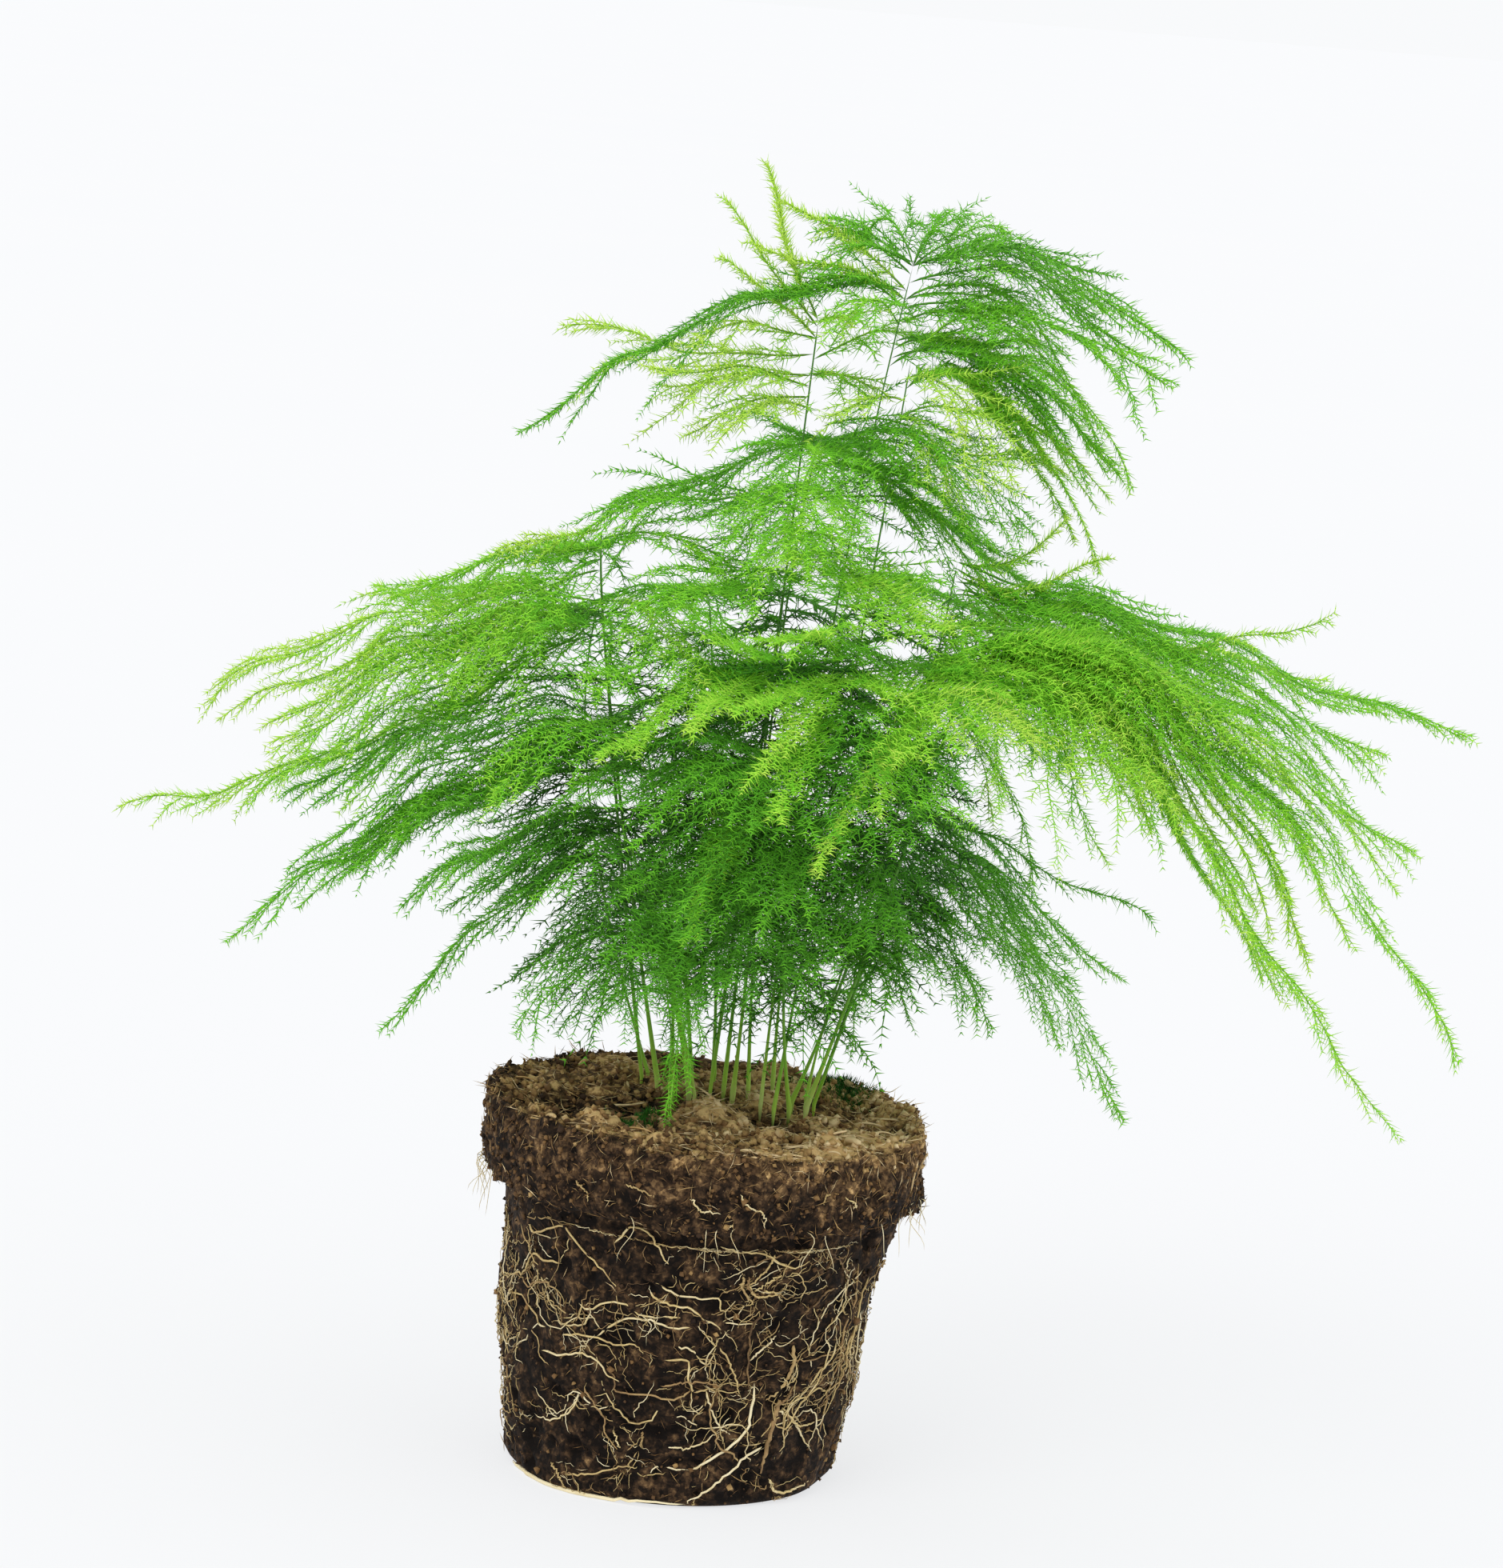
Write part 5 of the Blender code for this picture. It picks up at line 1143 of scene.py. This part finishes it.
def root_paths(degrees, height, heading, steps, step, draw):
    """Root paths on the ball's side: each heading drifts by small random turns and a slow sine."""
    count = len(heading)
    wave = draw.uniform(0.15, 0.45, (count, 1)) * np.arange(steps)[None] + draw.uniform(0, 6.3, (count, 1))
    kinks = np.cumsum(draw.normal(0, ROOT_KINK, (count, steps)), axis=1)
    heading = heading[:, None] + 0.4 * np.sin(wave) + kinks
    length = step * draw.uniform(0.6, 1.2, (count, 1))
    degrees = degrees[:, None] + np.degrees(np.cumsum(np.cos(heading) * length, axis=1) / MEAN_RADIUS)
    height = height[:, None] + np.cumsum(np.sin(heading) * length, axis=1)
    return degrees, np.clip(height, 1.0, HIGHEST_ROOT)


def wandering_paths(count, low, high, draw):
    """Root paths that set out in any direction, anywhere between two angles."""
    degrees, height = draw.uniform(low, high, count), draw.uniform(*WANDERING_HEIGHTS, count)
    return root_paths(degrees, height, draw.uniform(0, TURN, count), ROOT_POINTS, WANDERING_STEP, draw)


def falling_paths(draw):
    """Root paths that run down the ball's left and right edges."""
    degrees = np.concatenate([draw.uniform(*side) for side in (LEFT_ROOTS, RIGHT_ROOTS)])
    height = draw.uniform(*FALLING_HEIGHTS, len(degrees))
    heading = draw.normal(-1.57, 0.3, len(degrees))
    return root_paths(degrees, height, heading, ROOT_POINTS, FALLING_STEP, draw)


def branch_paths(bearers, count, steps, step, draw):
    """Rootlets that leave random points of other roots at a slant."""
    degrees, height = (np.concatenate([group[side].ravel() for group in bearers]) for side in range(2))
    ahead, rise = (np.concatenate([np.gradient(group[side], axis=1).ravel() for group in bearers])
                   for side in range(2))
    chosen = draw.integers(0, len(degrees), count)
    heading = np.arctan2(rise[chosen], np.radians(ahead[chosen]) * MEAN_RADIUS)
    heading = heading + draw.choice((-1, 1), count) * draw.uniform(*ROOTLET_SLANTS, count)
    return root_paths(degrees[chosen], height[chosen], heading, steps, step, draw)


def make_roots(ball, finish):
    """Roots pressed against the ball's side: the ones seen in front, wandering ones all round, and rootlets.

    A group of roots is its angles, heights, radii in millimetres and number of sides.
    """
    draw, rear = np.random.default_rng(7), np.random.default_rng(8)
    seen = np.moveaxis(np.stack([smooth_path(points, ROOT_POINTS) for _, points in FRONT_ROOTS]), -1, 0)
    around, falling = wandering_paths(*ALL_ROUND_ROOTS, draw), falling_paths(draw)
    front = [(*seen, np.array([radius for radius, _ in FRONT_ROOTS]) * SEEN_ROOT_SHARE, ROOT_SIDES),
             (*around, draw.uniform(*WANDERING_RADII, len(around[0])), 3),
             (*falling, draw.uniform(*FALLING_RADII, len(falling[0])), 4)]
    behind = wandering_paths(*REAR_ROOTS, rear)
    back = [(*behind, rear.uniform(*WANDERING_RADII, len(behind[0])), 3)]
    for groups, part, chosen in ((front, 1.0, draw), (back, REAR_ROOTLET_SHARE, rear)):
        for count, steps, step, thickness in ROOTLETS:
            count = int(count * part)
            paths = branch_paths(groups, count, steps, step, chosen)
            groups.append((*paths, chosen.uniform(*thickness, count), 3))
    surface = Surface()
    for degrees, height, size, sides in front + back:
        count, steps = degrees.shape
        seat, out = ball.on_side(degrees, height)
        share = np.linspace(0, 1, steps)[None]
        radii = size[:, None] * MM * np.interp(share, *ROOT_TAPER)
        bow = draw.uniform(*ROOT_BOWS, (count, 1)) * MM * np.sin(np.pi * share)
        points = seat + out * (radii * ROOT_STAND + ROOT_GAP + np.maximum(bow, 0))[..., None]
        points += np.cumsum(draw.normal(0, ROOT_DRIFT, points.shape), axis=1)
        points += draw.normal(0, ROOT_ZIGZAG, points.shape)
        points[..., 2] = np.maximum(points[..., 2], radii)
        tone = np.repeat(np.clip(draw.normal(0.6, 0.22, count), 0, 1), (steps - 2) * sides + 2)
        surface.add(*tube(points, radii, out, sides), tone=tone)
    add_hanging_roots(surface, ball, draw)
    surface.piece("root_threads", "roots", finish, "root_net")


def add_hanging_roots(surface, ball, draw):
    """Hair roots hanging from the band's foot: straight down, swaying out a little."""
    degrees = np.concatenate([draw.uniform(*group) for group in HANGING_ROOTS])
    one_each = (len(degrees), 1, 1)
    seat, out = ball.on_side(degrees, BALL_BAND_FOOT_HEIGHT + draw.uniform(1, 3.5, len(degrees)))
    share = np.linspace(0, 1, HANGING_POINTS)[None, :, None]
    fall = draw.uniform(*HANGING_LENGTHS, one_each) * MM
    sideways = draw.uniform(-2, 2, (len(degrees), 1, 3)) * MM
    points = seat[:, None] + out[:, None] * MM * (0.4 + draw.uniform(0, 2.6, one_each) * share)
    points = points + DOWN * fall * share ** 1.3 + sideways * np.sin(5 * share) * np.array((1, 1, 0))
    radii = np.broadcast_to(np.interp(share[..., 0], (0, 1), HANGING_RADII), points.shape[:2])
    surface.add(*tube(points, radii, np.broadcast_to(out[:, None], points.shape), 3), tone=0.9)


def crumbs(place, out, size, draw):
    """Crumbs of soil: eight-sided lumps with three uneven axes turned at random, half sunk."""
    count = len(place)
    one = unit(draw.normal(size=(count, 3)))
    two = unit(np.cross(one, draw.normal(size=(count, 3))))
    axes = np.stack((one, two, np.cross(one, two)), 1)
    reach = size[:, None, None] * draw.uniform(*CRUMB_AXES, (count, 6, 1))
    middle = place[:, None] + out[:, None] * size[:, None, None] * CRUMB_RISE
    upper = ((0, 1, 2), (1, 3, 2), (3, 4, 2), (4, 0, 2))
    lower = ((1, 0, 5), (3, 1, 5), (4, 3, 5), (0, 4, 5))
    return copies(middle + np.concatenate((axes, -axes), axis=1) * reach, np.array(upper + lower))


def fibre_axes(place, out, length, stand, draw):
    """Bent fibres: flat to the surface at random, then raised by up to a share of their length."""
    flat = unit(np.cross(out, draw.normal(size=out.shape)))
    length = length[:, None]
    side = np.cross(out, flat) * draw.uniform(-0.25, 0.25, (len(place), 1))
    rise = out * draw.uniform(-0.1, stand, (len(place), 1))
    start = place + out * FIBRE_GAP
    middle = start + (flat * 0.5 + side + rise * 0.7) * length
    return np.stack((start, middle, start + (flat + rise) * length), 1)


def painted_hollow_shade(place):
    """Painted shade: how much lighter litter is painted on the top's lumps, and darker in its hollows, than
    on the flat.
    """
    inside = 1 - smooth_step(np.hypot(place[:, 0], place[:, 1]), *HOLLOW_REACHES)
    return PAINTED_HOLLOW_SHADE * inside * smooth_step(place[:, 2], *HOLLOW_HEIGHTS) * soil_height(*place[:, :2].T)


def make_litter(ball, finish):
    """Crumbs, peat fibres, straws and chips of bark all over the soil, most on its top and band."""
    draw = np.random.default_rng(9)
    surface = Surface()
    for (count, sizes, shade), chance in zip(CRUMBS, ball.zones(STRAY_CRUMBS)):
        place, out = ball.scatter(count, chance, draw)
        size = draw.uniform(*sizes, count) * draw.uniform(0.6, 1, count) * MM
        corners, faces = crumbs(place, out, size, draw)
        # Painted shade: crumbs darker in the top's hollows, lighter on its lumps.
        tone = np.clip(draw.normal(shade, 0.15, count), 0, 1.4 * shade) + painted_hollow_shade(place)
        surface.add(corners, faces, tone=np.repeat(np.maximum(tone, 0), 6))
    surface.piece("soil_crumbs", "soil", finish)

    surface = Surface()
    for (count, lengths, stand, radius, shade), chance in zip(FIBRES, ball.zones(STRAY_FIBRES)):
        place, out = ball.scatter(count, chance, draw)
        axes = fibre_axes(place, out, draw.uniform(*lengths, count) * MM, stand, draw)
        corners, faces = curve_tube(axes, (radius * MM, radius * MM), 3, 3, out)
        # Painted shade: fibres darker in the top's hollows, lighter on its lumps.
        tone = np.clip(draw.normal(shade, 0.2, count), 0.1, 1) + painted_hollow_shade(place)
        surface.add(corners, faces, tone=np.repeat(np.clip(tone, 0, 1), 5))
    place, out = ball.scatter(LOOSE_STRAWS, ball.top + 0.25 * ball.band, draw)
    axes = fibre_axes(place, out, draw.uniform(*LOOSE_STRAW_LENGTHS, LOOSE_STRAWS) * MM, 0.3, draw)
    tone = np.repeat(draw.uniform(0.7, 1, LOOSE_STRAWS), 22)
    surface.add(*curve_tube(axes, LOOSE_STRAW_RADII, 6, 5, out), tone=tone)
    for start, end, radius, tone in STRAWS:
        ends, out = ball.on_top(*np.array((start, end), float).T)
        lifted = ends + out * (radius + STRAW_GAP) * MM
        axes = np.stack((lifted[0], lifted.mean(0) - DOWN * STRAW_BOW, lifted[1]))[None]
        surface.add(*curve_tube(axes, (radius * MM, 0.7 * radius * MM), 7, 5, out[:1]), tone=tone)
    surface.piece("peat_fibres", "soil", finish)


def make_moss(ball, finish):
    """Moss on the soil: slim leaves that stand round each patch's path."""
    surface = Surface()
    draw = np.random.default_rng(12)
    for path, count, spread, lengths in MOSS:
        aside = draw.normal(0, spread, (count, 2))
        place, out = ball.on_top(*(smooth_path(path, count) + aside).T)
        direction = unit(out + draw.normal(0, MOSS_TILT, (count, 3)))
        corners, faces = spikes(place, direction, draw.uniform(*lengths, count) * MM, MOSS_RADIUS)
        surface.add(corners, faces, tone=np.repeat(draw.uniform(*MOSS_TONES, count), 4), bark=0.0)
    surface.piece("moss", "foliage", finish)


class Value:
    """A shader socket that adds its own Math nodes: a + b, 1 + a, a - b, a * 2."""

    def __init__(self, finish, socket):
        self.finish, self.socket = finish, socket

    def maths(self, operation, first, second):
        return self.finish.add("ShaderNodeMath", {"operation": operation}, {0: first, 1: second})

    def __add__(self, other):
        return self.maths("ADD", self, other)

    def __sub__(self, other):
        return self.maths("SUBTRACT", self, other)

    def __mul__(self, other):
        return self.maths("MULTIPLY", self, other)

    __radd__ = __add__


class Finish:
    """One material, built from a few kinds of node."""

    def __init__(self, name):
        self.material = bpy.data.materials.new(name)
        self.material.use_nodes = True
        self.tree = self.material.node_tree
        self.shader = self.tree.nodes["Principled BSDF"]
        self.place = self.add("ShaderNodeTexCoord", {}, {}, "Object")

    def add(self, kind, settings, values, output=0):
        """A node of a kind: its settings and ramp stops first, then its sockets' values or links."""
        node = self.tree.nodes.new(kind)
        stops = settings.pop("stops", None)
        for key, value in settings.items():
            setattr(node, key, value)
        if stops:
            ramp = node.color_ramp
            while len(ramp.elements) < len(stops):
                ramp.elements.new(0.5)
            for element, (place, *colour) in zip(ramp.elements, stops):
                element.position, element.color = place, (*colour, 1)
        for key, value in values.items():
            self.set(node.inputs[key], value)
        return Value(self, node.outputs[output])

    def set(self, socket, value):
        """Link a value to a socket, or set a number or colour on it."""
        if isinstance(value, Value):
            self.tree.links.new(value.socket, socket)
        elif isinstance(value, tuple) and len(value) == 3 and socket.type == "RGBA":
            socket.default_value = (*value, 1)
        else:
            socket.default_value = value

    def layer(self, name):
        """A value stored on the mesh's corners."""
        return self.add("ShaderNodeAttribute", {"attribute_name": name}, {}, "Fac")

    def noise(self, scale, detail=2.0, roughness=0.5, place=None):
        """Noise from 0 to 1."""
        values = {"Vector": place or self.place, "Scale": scale, "Detail": detail, "Roughness": roughness}
        return self.add("ShaderNodeTexNoise", {}, values)

    def speckle(self, strength, scale, detail=2.0, roughness=0.5):
        """Noise about 0, of a strength."""
        return (self.noise(scale, detail, roughness) - 0.5) * strength

    def cells(self, scale):
        """A random number from 0 to 1 for each cell of a broken pattern, from the grey of its colour."""
        return self.add("ShaderNodeTexVoronoi", {}, {"Vector": self.place, "Scale": scale}, "Color")

    def stretched(self, scale):
        """Object coordinates with each axis scaled."""
        return self.add("ShaderNodeMapping", {}, {"Vector": self.place, "Scale": scale})

    def between(self, value, low, high):
        """0 at low, 1 at high, in a straight line between."""
        return self.add("ShaderNodeMapRange", {}, {"Value": value, "From Min": low, "From Max": high})

    def along(self, axis):
        """The object's own x, y or z at each point, in metres."""
        return self.add("ShaderNodeSeparateXYZ", {}, {0: self.place}, axis)

    def golden(self):
        """0 to 1: how golden the soil is painted, rising to its top and most on the right of its top."""
        return self.between(self.along(2), 0.081, 0.096) * self.between(self.along(0), -0.02, 0.05)

    def mix(self, mask, first, second):
        """Two colours mixed by a mask."""
        return self.add("ShaderNodeMix", {"data_type": "RGBA"}, {0: mask, 6: first, 7: second}, 2)

    def ramp(self, value, stops):
        """A colour that runs through stops as a value goes from 0 to 1."""
        return self.add("ShaderNodeValToRGB", {"stops": stops}, {"Fac": value})

    def bump(self, height, strength, distance):
        """A relief of a height, for the shader's Normal."""
        return self.add("ShaderNodeBump", {}, {"Height": height, "Strength": strength, "Distance": distance})

    def done(self, **sockets):
        """Set the shader's sockets, named with underscores, and return the material."""
        for key, value in sockets.items():
            self.set(self.shader.inputs[key.replace("_", " ")], value)
        return self.material


def leaf_finish():
    """Needles from dark green to lime by their tone, with painted shade inside the bush and painted light
    high up and far out; stems pale in their sheath at the foot and dark green above, partly painted shade
    under the foliage.
    """
    finish = Finish("fern_green")
    leaf = finish.ramp(finish.layer("tone") + finish.speckle(0.25, 60), LEAF_COLOURS)
    # Stems darken upwards from their pale sheath: their own green, and painted shade where the foliage hangs
    # over them.
    rise = finish.between(finish.along(2), 0.09, 0.25) + (finish.layer("tone") - 0.5) * 0.10
    stem = finish.ramp(rise, STEM_AND_SHADE_COLOURS)
    twig = finish.mix(0.72, stem, leaf)
    bark = finish.layer("bark")
    low = finish.mix(finish.between(bark, 0.0, 0.5), leaf, twig)
    colour = finish.mix(finish.between(bark, 0.5, 0.9), low, stem)
    rough = 0.42 + finish.noise(900, 1) * 0.2
    return finish.done(Base_Color=colour, Roughness=rough, Specular_IOR_Level=0.22)


def soil_finish():
    """Crumbly potting soil: grains of every brown, tan on the top and its rim, and painted near black in its
    pits and hollows as painted shade.
    """
    finish = Finish("potting_soil")
    grains = finish.cells(520) * 0.42 + finish.cells(1150) * 0.28
    clumps = finish.speckle(1.3, 420, 3, 0.6)
    mottles = finish.speckle(0.9, 190, 3, 0.6) + finish.speckle(0.5, 85)
    tan = finish.between(finish.along(2), 0.082, 0.096) * 0.14 + finish.golden() * 0.44
    tan += finish.layer("top") * 0.24 + finish.layer("band") * 0.08
    # The lift layer paints shade: darker in pits and hollows, lighter on clods and lumps.
    tone = grains + clumps + mottles + finish.layer("lift") * 0.15 + tan - 0.13
    colour = finish.ramp(tone, SOIL_COLOURS)
    fibres = finish.noise(1.0, 3, 0.6, finish.stretched((260, 260, 900)))
    relief = grains * 0.5 + clumps * 0.3 + fibres * 0.4
    return finish.done(Base_Color=colour, Roughness=0.88 + fibres * 0.1, Specular_IOR_Level=0.2,
                       Normal=finish.bump(relief, 0.9, 0.0012))


def litter_finish():
    """Crumbs and fibres from near black through brown to straw, by their tone."""
    finish = Finish("soil_litter")
    tone = finish.layer("tone") + finish.speckle(0.5, 500, 3, 0.6) + finish.golden() * 0.30
    colour = finish.ramp(tone, LITTER_COLOURS)
    grain = finish.noise(1500, 2, 0.6)
    return finish.done(Base_Color=colour, Roughness=0.75 + grain * 0.2, Specular_IOR_Level=0.25,
                       Normal=finish.bump(grain, 0.4, 0.0004))


def root_finish():
    """Roots from tan to cream by their tone, browner and rougher in patches."""
    finish = Finish("fine_roots")
    colour = finish.ramp(finish.layer("tone") + finish.speckle(0.9, 240, 3, 0.6), ROOT_COLOURS)
    grain = finish.noise(1400, 2, 0.6)
    return finish.done(Base_Color=colour, Roughness=0.55 + grain * 0.3, Specular_IOR_Level=0.35,
                       Normal=finish.bump(grain, 0.3, 0.0003))


def floor_finish():
    """A pale floor without sheen, which shines a little of its own."""
    finish = Finish("pale_floor")
    tint = finish.mix(finish.noise(1.5), *FLOOR_TINTS)
    return finish.done(Base_Color=tint, Roughness=0.9, Specular_IOR_Level=0.0, Emission_Color=GLOW_TINT,
                       Emission_Strength=FLOOR_GLOW)


def light_and_camera():
    """Pale floor, white surroundings, two broad soft suns and the photo's viewpoint."""
    scene = bpy.context.scene
    scene.view_settings.view_transform = "Standard"
    bpy.ops.mesh.primitive_circle_add(vertices=96, radius=FLOOR_RADIUS, fill_type="TRIFAN",
                                      location=(0, 0, -FLOOR_DROP))
    floor = bpy.context.object
    floor.name = "floor"
    floor.data.materials.append(floor_finish())
    world = bpy.data.worlds.new("surroundings")
    world.use_nodes = True
    world.node_tree.nodes["Background"].inputs["Color"].default_value = (*SURROUNDINGS, 1)
    scene.world = world
    for name, (place, spread, power) in SUNS.items():
        lamp = bpy.data.lights.new(name, "SUN")
        lamp.angle, lamp.energy = math.radians(spread), power
        put(name, lamp, np.array(place), 0.0)
    camera = bpy.data.cameras.new("camera")
    camera.lens = CAMERA_LENS
    back = np.array((0, -math.cos(CAMERA_RISE), math.sin(CAMERA_RISE)))
    scene.camera = put("camera", camera, CAMERA_AIM + back * CAMERA_DISTANCE, CAMERA_TURN)


def put(name, data, place, turn):
    """A lamp or camera at a place, facing the camera's aim and turned about its line of sight."""
    thing = bpy.data.objects.new(name, data)
    bpy.context.scene.collection.objects.link(thing)
    back = unit(place - CAMERA_AIM)
    right = unit(np.cross((0, 0, 1), back))
    up = np.cross(back, right)
    across = math.cos(turn) * right + math.sin(turn) * up
    rise = math.cos(turn) * up - math.sin(turn) * right
    whole = np.eye(4)
    whole[:3] = np.stack((across, rise, back, place), 1)
    thing.matrix_world = Matrix(whole.tolist())
    return thing


def main():
    """Build every piece and light it."""
    stems, fronds = lay_out_axes()
    green = leaf_finish()
    number = 0
    for name in SHOOTS:
        number = make_shoot(name, stems[name], fronds[name], number, green)
    ball = RootBall()
    ball.make(soil_finish())
    make_roots(ball, root_finish())
    make_litter(ball, litter_finish())
    make_moss(ball, green)
    light_and_camera()


main()
